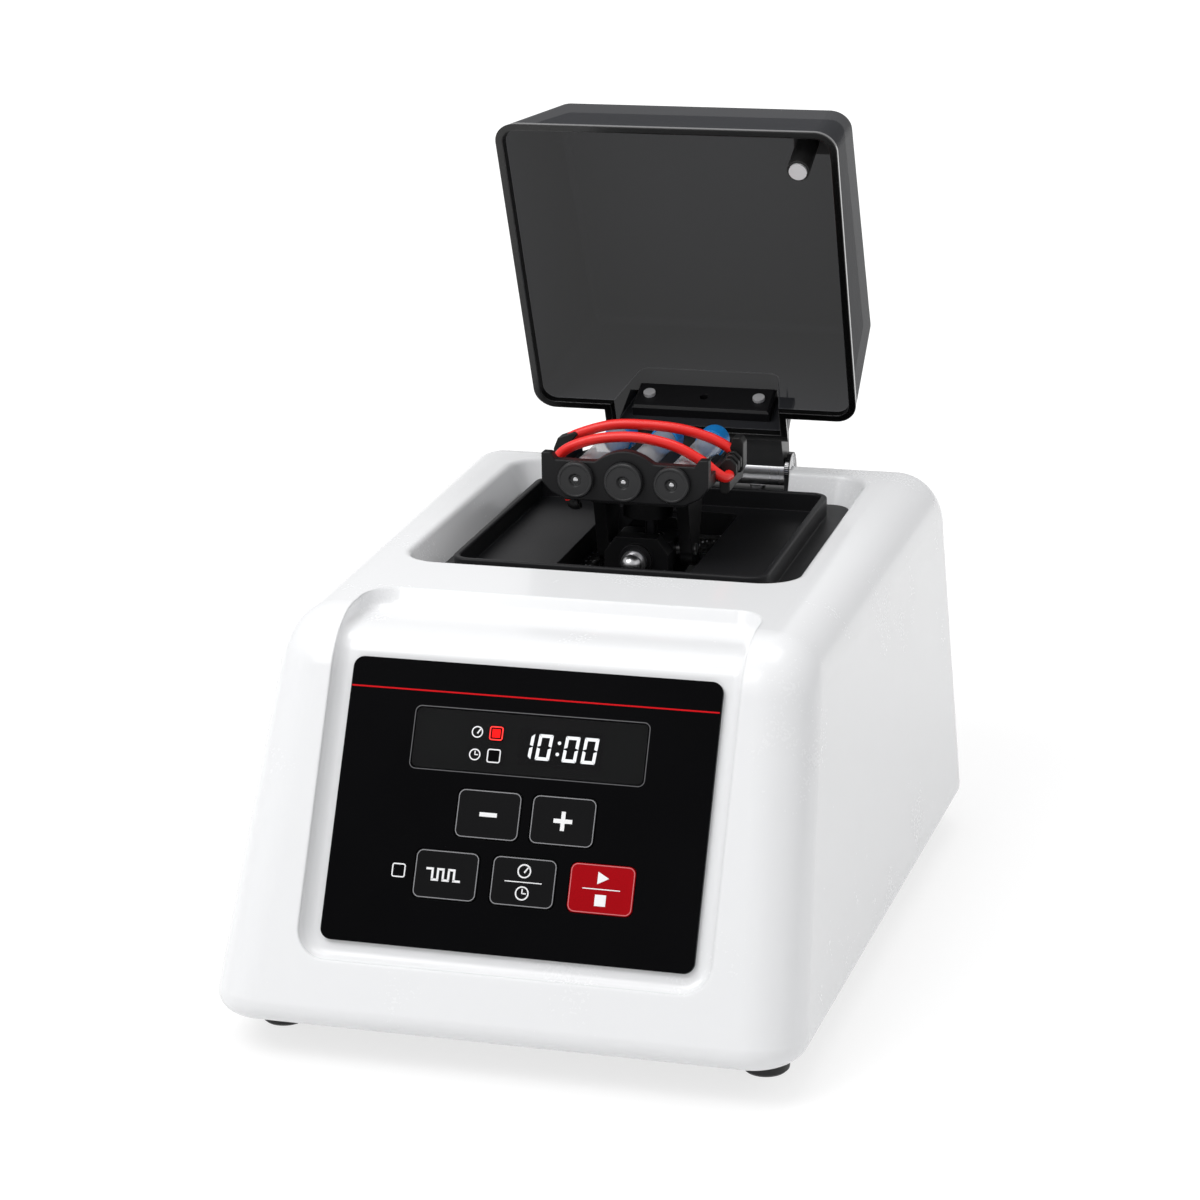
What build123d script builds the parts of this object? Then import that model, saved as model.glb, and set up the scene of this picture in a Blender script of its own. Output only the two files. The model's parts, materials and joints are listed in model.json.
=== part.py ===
from build123d import *
from math import atan2, cos, degrees, hypot, radians, sin, tan
import os

os.makedirs("parts", exist_ok=True)

# A bench-top bead mill: a white moulded housing with a sloped key panel, a black chamber tray
# on top, a rocking holder for three tubes, and a smoked lid on a friction hinge.
# Millimetres, +Z up, front towards -Y. The bench is at z = 0.

# Middle of the chamber; everything along Y is measured from it
tray_y = 34.2

# Housing, outside
top_z = 145.5
rim_z = 13.0
wall = 3.0
face_tilt = 27.8
front_y = tray_y - 226.0
rear_y = tray_y + 80.0
rear_top_y = tray_y + 117.0
front_half = 107.0
front_top_half = 98.5
rear_half = 122.0
rear_top_half = 103.5
side_round = 20.0
brow_round = 30.0
tail_round = 22.5
hem_round = 6.0
mouth_corner = 12.0
cut_clear = 5.0

# Chamber well in the top of the housing
well_half = 70.6
well_reach = 75.0
well_flare = 6.6
well_roll = 3.0
well_corner = 9.0
ledge_corner = 5.0
ledge_z = 131.8
ledge_width = 6.5
ledge_thick = 3.0
notch_half = 42.0
notch_z = 131.0
backing_reach = 60.0

# Front recess and key panel
recess_depth = 5.6
recess_half = 75.0
recess_back_y = tray_y - 117.0
recess_corner = 11.0
recess_cove = 4.3
recess_apron = 7.5
recess_brow = 2.0
step_run = 4.5
step_drop = 6.2
step_lean = 2.5
panel_width = 136.0
panel_height = 102.0
panel_thick = 1.6
panel_middle_z = 88.5
panel_corner = 4.0
panel_play = 0.15
window_width = 100.0
window_height = 84.0

# Keys: a cap through the panel, a collar behind it
key_width = 23.4
key_height = 17.4
key_corner = 2.6
key_gap = 0.3
key_proud = 0.2
key_travel = 0.5
collar_rim = 1.0
collar_thick = 1.0
row_high = -2.3
row_low = -24.8
high_pitch = 27.3
high_middle = 2.25
low_pitch = 28.3
low_middle = 4.1

# Display window and lamps, from the middle of the panel
lens_width = 85.0
lens_height = 21.5
lens_x = 0.4
lens_y = 23.4
digits_x = 11.0
digits_width = 30.0
digits_height = 13.0
lamp_size = 5.2
lamp_gap = 0.15
lamp_x = -12.0
lamp_high = 26.8
lamp_low = 18.7
pulse_lamp_x = -41.8
pulse_lamp_y = -24.5
board_thick = 1.6
board_drop = 3.6
board_width = 96.0
board_height = 80.0
standoff_radius = 2.2
board_hole_inset = 3.0
board_screw_radius = 1.5
board_screw_head = 2.4
board_screw_thick = 1.6
lens_corner = 2.0
lamp_corner = 0.8
stem_radius = 3.0
stem_gap = 0.1
key_edge = 0.15

# Lid: measured closed, its edge just above the tray's flange
lid_half = 69.8
lid_length = 141.0
lid_wall = 3.0
lid_back_height = 74.5
lid_front_height = 62.2
lid_back_lean = 7.5
lid_front_lean = 27.7
lid_roof_half = 63.6
lid_corner = 9.0
lid_roof_round = 6.0
lid_lift = 1.5
edge_height = 3.5
bay_half = 39.5
bay_far_half = 33.0
bay_depth = 12.0
bay_height = 35.0
bay_start = 16.0
bay_corner = 8.0
open_angle = 66.4

# Lid hinge
hinge_reach = 102.0
hinge_z = 140.0
barrel_radius = 6.2
barrel_half = 36.9
pin_radius = 2.5
running = 0.06
ear_radius = 8.5
ear_thick = 2.0
ear_gap = 0.3
bracket_thick = 2.0
leaf_thick = 3.0
leaf_top = 31.0
clamp_half = 30.0
clamp_height = 17.5
clamp_low = 9.0
clamp_thick = 5.0
clamp_screw_x = 24.0
clamp_screw_radius = 1.6
bracket_screw_x = 24.0
bracket_screw = 1.9
bracket_screw_length = 7.0
bracket_reach = 18.0

# Chamber tray
tray_play = 0.5
tray_thick = 2.2
lip_half = 62.6
lip_reach = 64.0
lip_rise = 7.8
lip_wall = 2.6
port_half = 27.0
port_front = -40.0
port_back = 52.0
skirt_wall = 2.0
skirt_drop = 7.8
post_x = 55.0
post_front = 14.0
post_radius = 3.6
post_reach = 7.0
post_hole = 5.0
lip_corner = 7.0
port_corner = 5.0
lip_edge = 0.8
foam_thick = 6.0
foam_half = 46.0
foam_margin = 14.0
foam_hole_half = 21.5
switch_height = 22.0
switch_half = 8.0

# Drive: motor under a plate on rubber mounts, crank pin, two-axis gimbal
drive_y = tray_y + 4.0
plate_z = 108.0
plate_thick = 4.0
plate_half = 52.0
plate_reach = 50.0
post_spread = 42.0
column_radius = 6.0
mount_height = 8.0
mount_radius = 7.5
motor_radius = 29.0
motor_height = 74.0
shaft_radius = 4.0
crank_throw = 1.2
crank_radius = 2.5
crank_top = 152.0
disc_z = 115.0
disc_thick = 5.0
weight_radius = 11.0
bearing_radius = 11.0
gimbal_z = 131.6
gimbal_half = 12.0
gimbal_reach = 10.0
gimbal_height = 10.0
gimbal_bore = 6.3
trunnion_radius = 2.5
pedestal_gap = 2.0
pedestal_thick = 8.0
pedestal_half = 13.0
pedestal_foot_half = 10.4
pedestal_foot = 4.0
pedestal_top_half = 8.5
pedestal_top = 140.5
pedestal_shoulder = 134.0
collar_length = 2.2
collar_outer = 6.6
bolt_head_radius = 5.0
bolt_head_thick = 3.0
bolt_ball = 4.0
spindle_reach = 14.0
hub_radius = 7.0
motor_bolt_inset = 6.5
motor_screw_radius = 1.7
motor_screw_length = 10.0
motor_screw_head = 3.2
motor_screw_thick = 2.2

# Tube holder and tubes
arm_inner = 14.5
arm_thick = 5.0
bridge_z = 154.0
bridge_thick = 5.5
bridge_length = 40.0
arm_spread = 13.0
arm_end = 6.5
boss_radius = 10.0
bush_outer = 8.0
bush_inner = 6.1
boss_bottom = 145.0
holder_front = tray_y - 34.0
holder_length = 72.0
holder_half = 33.5
face_thick = 5.0
face_top = 175.5
hump_radius = 9.6
hump_drop = 5.0
holder_corner = 6.0
side_rise = 6.8
tube_z = 168.2
tube_pitch = 19.2
tube_radius = 5.4
tube_wall = 0.9
tube_front = tray_y - 27.0
tube_length = 58.0
cap_radius = 6.2
cap_length = 15.0
groove_play = 0.25
knob_radius = 7.2
middle_knob_radius = 7.8
knob_thick = 3.0
knob_shank = 3.0
knob_flange = 4.4
band_radius = 1.9
band_top_z = 182.0
band_half = 37.0
band_end_z = 166.0
clip_thick = 6.0
clip_width = 12.0
clip_gap = 0.02
front_band_y = tray_y - 18.0
rear_band_y = tray_y + 3.0

# Vent slots in the rear face and in the base plate
vent_x = 62.0
vent_up = 10.0
vent_pitch = 7.0
vent_count = 5
vent_length = 30.0
vent_width = 3.0
base_vent_pitch = 9.0
base_vent_apart = 60.0
base_vent_count = 9
base_vent_width = 4.0

# Feet, base plate and rear fittings
foot_radius = 10.0
foot_x = 89.5
front_foot_y = tray_y - 187.0
rear_foot_y = tray_y + 46.0
base_thick = 2.0
base_play = 0.4
foot_edge = 1.0
foot_taper = 1.5
screw_radius = 2.0
screw_play = 0.2
screw_head = 3.6
screw_seat = 6.0
screw_head_thick = 2.4
screw_length = 26.0
pilot_depth = 22.0
front_boss_height = 50.0
rear_boss_height = 30.0
boss_outer = 6.0
rib_thick = 3.0
inlet_x = 24.0
switch_x = -16.0
rear_fit_z = 48.0
inlet_width = 27.0
inlet_height = 20.0
socket_width = 24.0
socket_height = 16.5
socket_depth = 16.0
rocker_frame_width = 19.0
rocker_frame_height = 13.0
rocker_width = 16.0
rocker_height = 10.0
fit_play = 0.2
flange_over = 2.5
flange_thick = 2.0
fitting_depth = 18.0
prong_apart = 7.0
prong_thick = 2.0
prong_wide = 4.0
frame_over = 1.5
frame_thick = 1.6
frame_depth = 16.0
pocket_depth = 9.0
supply_width = 60.0
supply_depth = 12.0
supply_height = 40.0
supply_foot = 3.0


stand = (Align.CENTER, Align.CENTER, Align.MIN)
hang = (Align.CENTER, Align.CENTER, Align.MAX)


def save(piece, label):
    piece.part.label = label
    export_step(piece.part, f"parts/{label}.step")


# Places worked out from the sizes above
slope = tan(radians(face_tilt))
outward = (0, -cos(radians(face_tilt)), sin(radians(face_tilt)))
face = Plane(
    origin=(0, front_y + (panel_middle_z - rim_z) * slope, panel_middle_z),
    x_dir=(1, 0, 0),
    z_dir=outward,
)
recess_floor = face.offset(-recess_depth)
panel_back = recess_floor.offset(panel_play)
panel_front = panel_back.offset(panel_thick)
board_front = panel_back.offset(-board_drop)

rear_lean = (rear_top_y - rear_y) / (top_z - rim_z)
rear_normal = Vector(0, 1, -rear_lean).normalized()
rear_face = Plane(
    origin=(0, rear_y + (rear_fit_z - rim_z) * rear_lean, rear_fit_z),
    x_dir=(-1, 0, 0),
    z_dir=rear_normal,
)
hinge_y = tray_y + hinge_reach
flange_z = ledge_z + tray_thick
lid_edge_z = flange_z + lid_lift
swing = radians(open_angle)
lid_open = Plane(
    origin=(0, hinge_y, hinge_z),
    x_dir=(1, 0, 0),
    z_dir=(0, sin(swing), cos(swing)),
)


def lid_plane(y, z):
    """A plane fixed to the lid, given by its place when the lid is closed."""
    spot = lid_open.from_local_coords(Vector(0, y - hinge_y, z - hinge_z))
    return Plane(origin=spot, x_dir=lid_open.x_dir, z_dir=lid_open.z_dir)


def plan_outline(inset, front_inset, z):
    """The housing's plan at height z, moved in by a wall."""
    share = (z - rim_z) / (top_z - rim_z)
    y_front = front_y + (z - rim_z) * slope + front_inset / cos(radians(face_tilt))
    y_rear = rear_y + (z - rim_z) * rear_lean - inset
    half_front = front_half + (front_top_half - front_half) * share - inset
    half_rear = rear_half + (rear_top_half - rear_half) * share - inset
    return [
        (-half_front, y_front),
        (half_front, y_front),
        (half_rear, y_rear),
        (-half_rear, y_rear),
    ]


def housing_block(inset, front_inset, low, high, brow, tail, side):
    """The housing's rounded wedge form, solid, between two heights."""
    with BuildPart() as form:
        for z in (low, high):
            with BuildSketch(Plane.XY.offset(z)):
                with BuildLine():
                    Polyline(plan_outline(inset, front_inset, z), close=True)
                make_face()
        loft(ruled=True)
        across = form.edges().group_by(Axis.Z)[-1].filter_by(Axis.X)
        fillet(across.sort_by(Axis.Y)[0], brow)
        across = form.edges().group_by(Axis.Z)[-1].filter_by(Axis.X)
        fillet(across.sort_by(Axis.Y)[-1], tail)
        flanks = [
            edge
            for edge in form.edges()
            if abs(edge.tangent_at(0.5).X) < 0.5 and edge.center().Z > low + 1
        ]
        fillet(flanks, side)
    return form


body = housing_block(0, 0, rim_z, top_z, brow_round, tail_round, side_round)
with BuildPart() as outer_form:
    add(body.part)
    fillet(outer_form.edges().group_by(Axis.Z)[0], hem_round)
front_wall = recess_depth + wall
cavity = housing_block(
    wall,
    front_wall,
    rim_z + hem_round,
    top_z - wall,
    brow_round - wall,
    tail_round - wall,
    side_round - wall,
)
mouth_inset = hem_round + wall


def mouth_prism(gap, low, high):
    """An upright block that fills the opening in the housing's underside."""
    with BuildPart() as prism:
        with BuildSketch(Plane.XY.offset(low)):
            with BuildLine():
                Polyline(plan_outline(mouth_inset + gap, front_wall + gap, rim_z), close=True)
            make_face()
            fillet(vertices(), mouth_corner)
        extrude(amount=high - low)
    return prism


# The front recess, as the block that is cut away. Its floor follows the panel and then rolls
# over to a step near the well.
floor_low = recess_floor.from_local_coords(Vector(0, -panel_height / 2 - recess_apron, 0))
floor_high = recess_floor.from_local_coords(Vector(0, panel_height / 2 + recess_brow, 0))
low_front = face.from_local_coords(Vector(0, -panel_height / 2 - recess_apron, 12))
step_foot = (recess_back_y - step_run, top_z - step_drop)
step_top = (recess_back_y + step_lean, top_z + cut_clear)
far_top = (low_front.Y - 20, top_z + cut_clear)
with BuildPart() as recess:
    with BuildSketch(Plane.YZ.offset(-recess_half)):
        with BuildLine():
            start = (floor_low.Y, floor_low.Z)
            bend = (floor_high.Y, floor_high.Z)
            Line(start, bend)
            Spline(bend, step_foot, tangents=[(slope, 1), (1, 0.06)])
            Polyline(step_foot, step_top, far_top, (low_front.Y, low_front.Z), start)
        make_face()
    extrude(amount=2 * recess_half)
    corner_edges = [
        edge
        for edge in recess.edges().filter_by(GeomType.LINE)
        if abs(edge.tangent_at(0.5).X) < 0.5
        and (
            abs(edge.center().Y - (step_foot[0] + step_top[0]) / 2) < 1
            or abs(edge.center().Z - (floor_low.Z + low_front.Z) / 2) < 1
        )
    ]
    fillet(corner_edges, recess_corner)
    floors = recess.faces().sort_by_distance(floor_high)[:2]
    bed = [edge for face_ in floors for edge in face_.edges()]
    shared = Vector(0, floor_high.Y, floor_high.Z)
    bed = [edge for edge in bed if (edge.center() - shared).length > 1]
    fillet(bed, recess_cove)


def well_loft(inset, low, high):
    """The flared chamber well between two heights, its walls moved out by -inset."""
    with BuildPart() as well:
        for z in (low, high):
            grow = well_flare * (z - ledge_z) / (top_z - ledge_z) - inset
            with BuildSketch(Plane.XY.offset(z)):
                with Locations((0, tray_y)):
                    RectangleRounded(
                        2 * (well_half + grow), 2 * (well_reach + grow), well_corner + grow
                    )
        loft(ruled=True)
    return well


# Housing shell: outside form, less the cavity, with a skirt round the well, a saddle for the
# hinge and a thick backing behind the recess
skirt_low = ledge_z - ledge_thick
well_skirt = well_loft(-wall, skirt_low, top_z)
well_space = well_loft(0, ledge_z, top_z + 1)
notch_front = tray_y + well_reach - 4
with BuildPart() as backing:
    with BuildSketch(Plane.XY.offset(skirt_low)):
        with Locations((0, recess_back_y + wall)):
            Rectangle(2 * (recess_half + wall), backing_reach, align=(Align.CENTER, Align.MAX))
        with Locations((0, notch_front)):
            Rectangle(2 * (notch_half + wall), backing_reach, align=(Align.CENTER, Align.MIN))
    extrude(amount=top_z - skirt_low)
    add(well_skirt.part)
    add(outer_form.part, mode=Mode.INTERSECT)

boss_spots = [
    (side * foot_x, y) for side in (-1, 1) for y in (front_foot_y, rear_foot_y)
]
plate_top = rim_z + base_thick
with BuildPart() as bosses:
    for x, y in boss_spots:
        height = front_boss_height if y < 0 else rear_boss_height
        with BuildSketch(Plane.XY.offset(plate_top)):
            with Locations((x, y)):
                Circle(boss_outer)
            if y > 0:
                with Locations((x, y)):
                    reach = Align.MIN if x > 0 else Align.MAX
                    Rectangle(rear_half - foot_x, rib_thick, align=(reach, Align.CENTER))
        extrude(amount=height)
    add(outer_form.part, mode=Mode.INTERSECT)

with BuildPart() as housing_shell:
    add(outer_form.part)
    add(cavity.part, mode=Mode.SUBTRACT)
    add(mouth_prism(0, rim_z - 1, rim_z + hem_round + 1).part, mode=Mode.SUBTRACT)
    add(backing.part)
    add(bosses.part)
    add(well_space.part, mode=Mode.SUBTRACT)
    rim = [
        edge
        for edge in housing_shell.edges()
        if abs(edge.center().Z - top_z) < 0.01
        and abs(edge.center().X) < well_half + well_flare + 0.5
        and abs(edge.center().Y - tray_y) < well_reach + well_flare + 0.5
    ]
    fillet(rim, well_roll)
    with BuildSketch(Plane.XY.offset(skirt_low)):
        with Locations((0, tray_y)):
            RectangleRounded(
                2 * (well_half - ledge_width), 2 * (well_reach - ledge_width), ledge_corner
            )
    extrude(amount=10, mode=Mode.SUBTRACT)
    with BuildSketch(Plane.XZ.offset(-notch_front)):
        with Locations((0, notch_z)):
            Rectangle(2 * notch_half, 40, align=(Align.CENTER, Align.MIN))
    extrude(amount=-backing_reach, mode=Mode.SUBTRACT)
    add(recess.part, mode=Mode.SUBTRACT)
    with BuildSketch(recess_floor):
        RectangleRounded(window_width, window_height, 4)
    extrude(amount=-20, mode=Mode.SUBTRACT)
    with BuildSketch(rear_face):
        with Locations((inlet_x, 0)):
            RectangleRounded(inlet_width + 2 * fit_play, inlet_height + 2 * fit_play, 2)
        with Locations((switch_x, 0)):
            Rectangle(rocker_frame_width + 2 * fit_play, rocker_frame_height + 2 * fit_play)
        for x in (-vent_x, vent_x):
            with Locations((x, vent_up)):
                with GridLocations(vent_pitch, 0, vent_count, 1):
                    SlotOverall(vent_length, vent_width, rotation=90)
    extrude(amount=-20, mode=Mode.SUBTRACT)
    with Locations(*[Pos(x, y, plate_top) for x, y in boss_spots]):
        Cylinder(screw_radius - 0.3, pilot_depth, align=stand, mode=Mode.SUBTRACT)
    with Locations(*[Pos(x, hinge_y, notch_z) for x in (-bracket_screw_x, bracket_screw_x)]):
        Cylinder(bracket_screw + 0.05, bracket_screw_length + 2, align=hang, mode=Mode.SUBTRACT)
save(housing_shell, "housing_shell")

# Base plate with vent slots, its feet and screws
with BuildPart() as base_plate:
    add(mouth_prism(base_play, rim_z, plate_top).part)
    with BuildSketch(Plane.XY.offset(rim_z)):
        with Locations(*[(x, y) for x, y in boss_spots]):
            Circle(screw_radius + screw_play)
        with GridLocations(base_vent_pitch, base_vent_apart, base_vent_count, 2):
            SlotOverall(vent_length, base_vent_width, rotation=90)
    extrude(amount=base_thick, mode=Mode.SUBTRACT)
save(base_plate, "base_plate")

with BuildPart() as rubber_feet:
    for x, y in boss_spots:
        with BuildSketch(Plane.XZ.offset(-y)):
            with BuildLine():
                Polyline(
                    (x + screw_radius + screw_play, rim_z),
                    (x + foot_radius, rim_z),
                    (x + foot_radius - foot_taper, foot_edge),
                    (x + foot_radius - foot_taper - foot_edge, 0),
                    (x + screw_head + 3 * screw_play, 0),
                    (x + screw_head + 3 * screw_play, screw_seat),
                    (x + screw_radius + screw_play, screw_seat),
                    close=True,
                )
            make_face()
        revolve(axis=Axis((x, y, 0), (0, 0, 1)))
save(rubber_feet, "rubber_feet")

with BuildPart() as foot_screws:
    for x, y in boss_spots:
        with Locations(Pos(x, y, screw_seat)):
            Cylinder(screw_head, screw_head_thick, align=hang)
            Cylinder(screw_radius - 0.35, screw_length, align=stand)
save(foot_screws, "foot_screws")

# Key panel on the recess floor, with a window for the display and one for each key
keys = {
    "minus_key": (high_middle - high_pitch / 2, row_high),
    "plus_key": (high_middle + high_pitch / 2, row_high),
    "pulse_key": (low_middle - low_pitch, row_low),
    "speed_time_key": (low_middle, row_low),
    "start_stop_key": (low_middle + low_pitch, row_low),
}
lamps = [(lamp_x, lamp_high), (lamp_x, lamp_low), (pulse_lamp_x, pulse_lamp_y)]
standoff_x = board_width / 2 - board_hole_inset
standoff_y = board_height / 2 - board_hole_inset
with BuildPart() as control_panel:
    with BuildSketch(panel_back):
        RectangleRounded(panel_width, panel_height, panel_corner)
    extrude(amount=panel_thick)
    with BuildSketch(panel_back):
        with GridLocations(2 * standoff_x, 2 * standoff_y, 2, 2):
            Circle(standoff_radius)
    extrude(amount=-board_drop)
    with BuildSketch(panel_front):
        with Locations((lens_x, lens_y)):
            RectangleRounded(lens_width, lens_height, lens_corner)
        with Locations((pulse_lamp_x, pulse_lamp_y)):
            RectangleRounded(lamp_size + 2 * lamp_gap, lamp_size + 2 * lamp_gap, 1)
        with Locations(*keys.values()):
            RectangleRounded(key_width + 2 * key_gap, key_height + 2 * key_gap, key_corner)
    extrude(amount=-panel_thick - 1, mode=Mode.SUBTRACT)
save(control_panel, "control_panel")

with BuildPart() as display_lens:
    with BuildSketch(panel_back):
        with Locations((lens_x, lens_y)):
            RectangleRounded(lens_width - 0.2, lens_height - 0.2, lens_corner)
        with Locations((lamp_x, lamp_high), (lamp_x, lamp_low)):
            RectangleRounded(
                lamp_size + 2 * lamp_gap, lamp_size + 2 * lamp_gap, 1, mode=Mode.SUBTRACT
            )
    extrude(amount=panel_thick)
save(display_lens, "display_lens")

with BuildPart() as indicator_lamps:
    with BuildSketch(board_front):
        with Locations(*lamps):
            RectangleRounded(lamp_size, lamp_size, lamp_corner)
    extrude(amount=board_drop + panel_thick)
save(indicator_lamps, "indicator_lamps")

with BuildPart() as digit_display:
    with BuildSketch(board_front):
        with Locations((digits_x, lens_y)):
            Rectangle(digits_width, digits_height)
    extrude(amount=board_drop)
save(digit_display, "digit_display")

with BuildPart() as key_board:
    with BuildSketch(board_front):
        RectangleRounded(board_width, board_height, 2)
        with GridLocations(2 * standoff_x, 2 * standoff_y, 2, 2):
            Circle(board_screw_radius + screw_play, mode=Mode.SUBTRACT)
    extrude(amount=-board_thick)
save(key_board, "key_board")

with BuildPart() as board_screws:
    with BuildSketch(board_front.offset(-board_thick)):
        with GridLocations(2 * standoff_x, 2 * standoff_y, 2, 2):
            Circle(board_screw_head)
    extrude(amount=-board_screw_thick)
    with BuildSketch(board_front.offset(-board_thick)):
        with GridLocations(2 * standoff_x, 2 * standoff_y, 2, 2):
            Circle(board_screw_radius)
    extrude(amount=board_thick)
save(board_screws, "board_screws")

for label, spot in keys.items():
    with BuildPart() as key:
        with BuildSketch(panel_back):
            with Locations(spot):
                RectangleRounded(key_width, key_height, key_corner)
        extrude(amount=panel_thick + key_proud)
        crown = key.faces().sort_by(Axis(panel_front.origin, outward))[-1]
        fillet(crown.edges(), key_edge)
        with BuildSketch(panel_back):
            with Locations(spot):
                RectangleRounded(
                    key_width + 2 * collar_rim, key_height + 2 * collar_rim, key_corner
                )
        extrude(amount=-collar_thick)
        with BuildSketch(panel_back.offset(-collar_thick)):
            with Locations(spot):
                Circle(stem_radius)
        extrude(amount=-(board_drop - collar_thick - key_travel - stem_gap))
    save(key, label)

# Chamber tray: flange on the well's ledge, a raised lip, a port with a skirt for the drive
tray_middle = Location((0, tray_y))
port_middle = Location((0, tray_y + (port_front + port_back) / 2))
port_length = port_back - port_front
lid_front_y = tray_y - lid_length / 2
post_y = lid_front_y + post_front
with BuildPart() as chamber_tray:
    with BuildSketch(Plane.XY.offset(ledge_z)):
        with Locations(tray_middle):
            RectangleRounded(
                2 * (well_half - tray_play), 2 * (well_reach - tray_play), well_corner - tray_play
            )
    extrude(amount=tray_thick)
    with BuildSketch(Plane.XY.offset(flange_z)):
        with Locations(tray_middle):
            RectangleRounded(2 * lip_half, 2 * lip_reach, lip_corner)
            RectangleRounded(
                2 * (lip_half - lip_wall),
                2 * (lip_reach - lip_wall),
                lip_corner - 2,
                mode=Mode.SUBTRACT,
            )
    extrude(amount=lip_rise)
    fillet(chamber_tray.edges().group_by(Axis.Z)[-1], lip_edge)
    with BuildSketch(Plane.XY.offset(ledge_z)):
        with Locations(port_middle):
            RectangleRounded(
                2 * (port_half + skirt_wall),
                port_length + 2 * skirt_wall,
                port_corner + skirt_wall,
            )
    extrude(amount=-skirt_drop)
    with BuildSketch(Plane.XY.offset(flange_z)):
        with Locations(port_middle):
            RectangleRounded(2 * port_half, port_length, port_corner)
        with Locations((post_x, post_y)):
            Circle(post_hole)
    extrude(amount=-30, mode=Mode.SUBTRACT)
save(chamber_tray, "chamber_tray")

foam_top = ledge_z - skirt_drop
foam_hole_front = port_front + 7
foam_hole_back = port_back - 6
with BuildPart() as sound_foam:
    with BuildSketch(Plane.XY.offset(foam_top)):
        with Locations(port_middle):
            Rectangle(2 * foam_half, port_length + 2 * foam_margin)
        with Locations((0, tray_y + foam_hole_front)):
            Rectangle(
                2 * foam_hole_half,
                foam_hole_back - foam_hole_front,
                align=(Align.CENTER, Align.MIN),
                mode=Mode.SUBTRACT,
            )
    extrude(amount=-foam_thick)
save(sound_foam, "sound_foam")

with BuildPart() as lid_switch:
    with BuildSketch(Plane.XY.offset(ledge_z)):
        with Locations((post_x, post_y)):
            RectangleRounded(2 * switch_half, 2 * switch_half, 1.5)
    extrude(amount=-switch_height)
    with BuildSketch(Plane.XY.offset(ledge_z)):
        with Locations((post_x, post_y)):
            Circle(post_hole)
    extrude(amount=-8, mode=Mode.SUBTRACT)
    with Locations(Pos(post_x, post_y, ledge_z - switch_height)):
        Box(2, 4, 4, align=hang)
save(lid_switch, "lid_switch")


# Lid: a tapered smoked cover, made on planes that swing with it
lid_middle_y = tray_y
lid_edge = lid_plane(lid_middle_y, lid_edge_z)
roof_length = lid_length + lid_back_lean - lid_front_lean
roof_shift = (lid_back_lean + lid_front_lean) / 2
roof_rise = (lid_back_height + lid_front_height) / 2
roof_pitch = degrees(atan2(lid_back_height - lid_front_height, roof_length))
roof_span = hypot(lid_back_height - lid_front_height, roof_length)


def lid_form(inset, drop):
    """The lid's tapered form, moved in by a wall at its sides and down by drop at its roof."""
    above = Plane(
        origin=lid_edge.from_local_coords(Vector(0, roof_shift, roof_rise - drop)),
        x_dir=lid_edge.x_dir,
        z_dir=lid_edge.z_dir,
    )
    roof = above.rotated((roof_pitch, 0, 0))
    with BuildPart() as form:
        with BuildSketch(lid_edge):
            RectangleRounded(
                2 * (lid_half - inset), lid_length - 2 * inset, lid_corner - inset
            )
        with BuildSketch(roof):
            RectangleRounded(
                2 * (lid_roof_half - inset), roof_span - 2 * inset, lid_corner - inset
            )
        loft(ruled=True)
    return form


bay_top = lid_length / 2
with BuildPart() as lid_outer:
    add(lid_form(0, 0).part)
    roof_face = lid_outer.faces().sort_by(Axis(lid_edge.origin, lid_edge.z_dir))[-1]
    fillet(roof_face.edges(), lid_roof_round)
with BuildPart() as lid_inner:
    add(lid_form(lid_wall, lid_wall).part)
    roof_face = lid_inner.faces().sort_by(Axis(lid_edge.origin, lid_edge.z_dir))[-1]
    fillet(roof_face.edges(), lid_roof_round - lid_wall)


def bay_form(inset, depth):
    """The bay in the lid's back wall that clears the hinge clamp."""
    back = Plane(
        origin=lid_edge.from_local_coords(Vector(0, bay_top - bay_start, 0)),
        x_dir=(-1, 0, 0),
        z_dir=lid_edge.y_dir,
    )
    with BuildPart() as bay:
        with BuildSketch(back):
            with BuildLine():
                Polyline(
                    (-(bay_half - inset), 0),
                    (-(bay_far_half - inset), bay_height - inset),
                    (bay_far_half - inset, bay_height - inset),
                    (bay_half - inset, 0),
                    close=True,
                )
            make_face()
            fillet(vertices().group_by(Axis.Y)[-1], bay_corner - inset)
        extrude(amount=bay_start + depth)
    return bay


bay_outer = bay_form(0, bay_depth)
bay_inner = bay_form(lid_wall, bay_depth - lid_wall)
with BuildPart() as lid_solid:
    add(lid_outer.part)
    add(bay_outer.part)
with BuildPart() as lid_room:
    add(lid_inner.part)
    add(bay_inner.part)
with BuildPart() as edge_slab:
    with BuildSketch(lid_edge):
        Rectangle(4 * lid_half, 4 * lid_half)
    extrude(amount=edge_height)

leaf_face = tray_y + lid_length / 2 + bay_depth
bay_floor = leaf_face - lid_wall
clamp_back = Plane(
    origin=lid_open.from_local_coords(Vector(0, bay_floor - hinge_y, lid_edge_z - hinge_z)),
    x_dir=(1, 0, 0),
    z_dir=-lid_open.y_dir,
)
clamp_middle = clamp_low + clamp_height / 2
clamp_spots = [(-clamp_screw_x, clamp_middle), (clamp_screw_x, clamp_middle)]
with BuildPart() as lid:
    add(lid_solid.part)
    add(lid_room.part, mode=Mode.SUBTRACT)
    add(edge_slab.part, mode=Mode.SUBTRACT)
    with BuildSketch(clamp_back.offset(1)):
        with Locations(*clamp_spots):
            Circle(clamp_screw_radius + 0.1)
    extrude(amount=-lid_wall - 2, mode=Mode.SUBTRACT)
save(lid, "lid")

with BuildPart() as lid_edge_seal:
    add(lid_solid.part)
    add(edge_slab.part, mode=Mode.INTERSECT)
    add(lid_room.part, mode=Mode.SUBTRACT)
save(lid_edge_seal, "lid_edge_seal")

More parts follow.
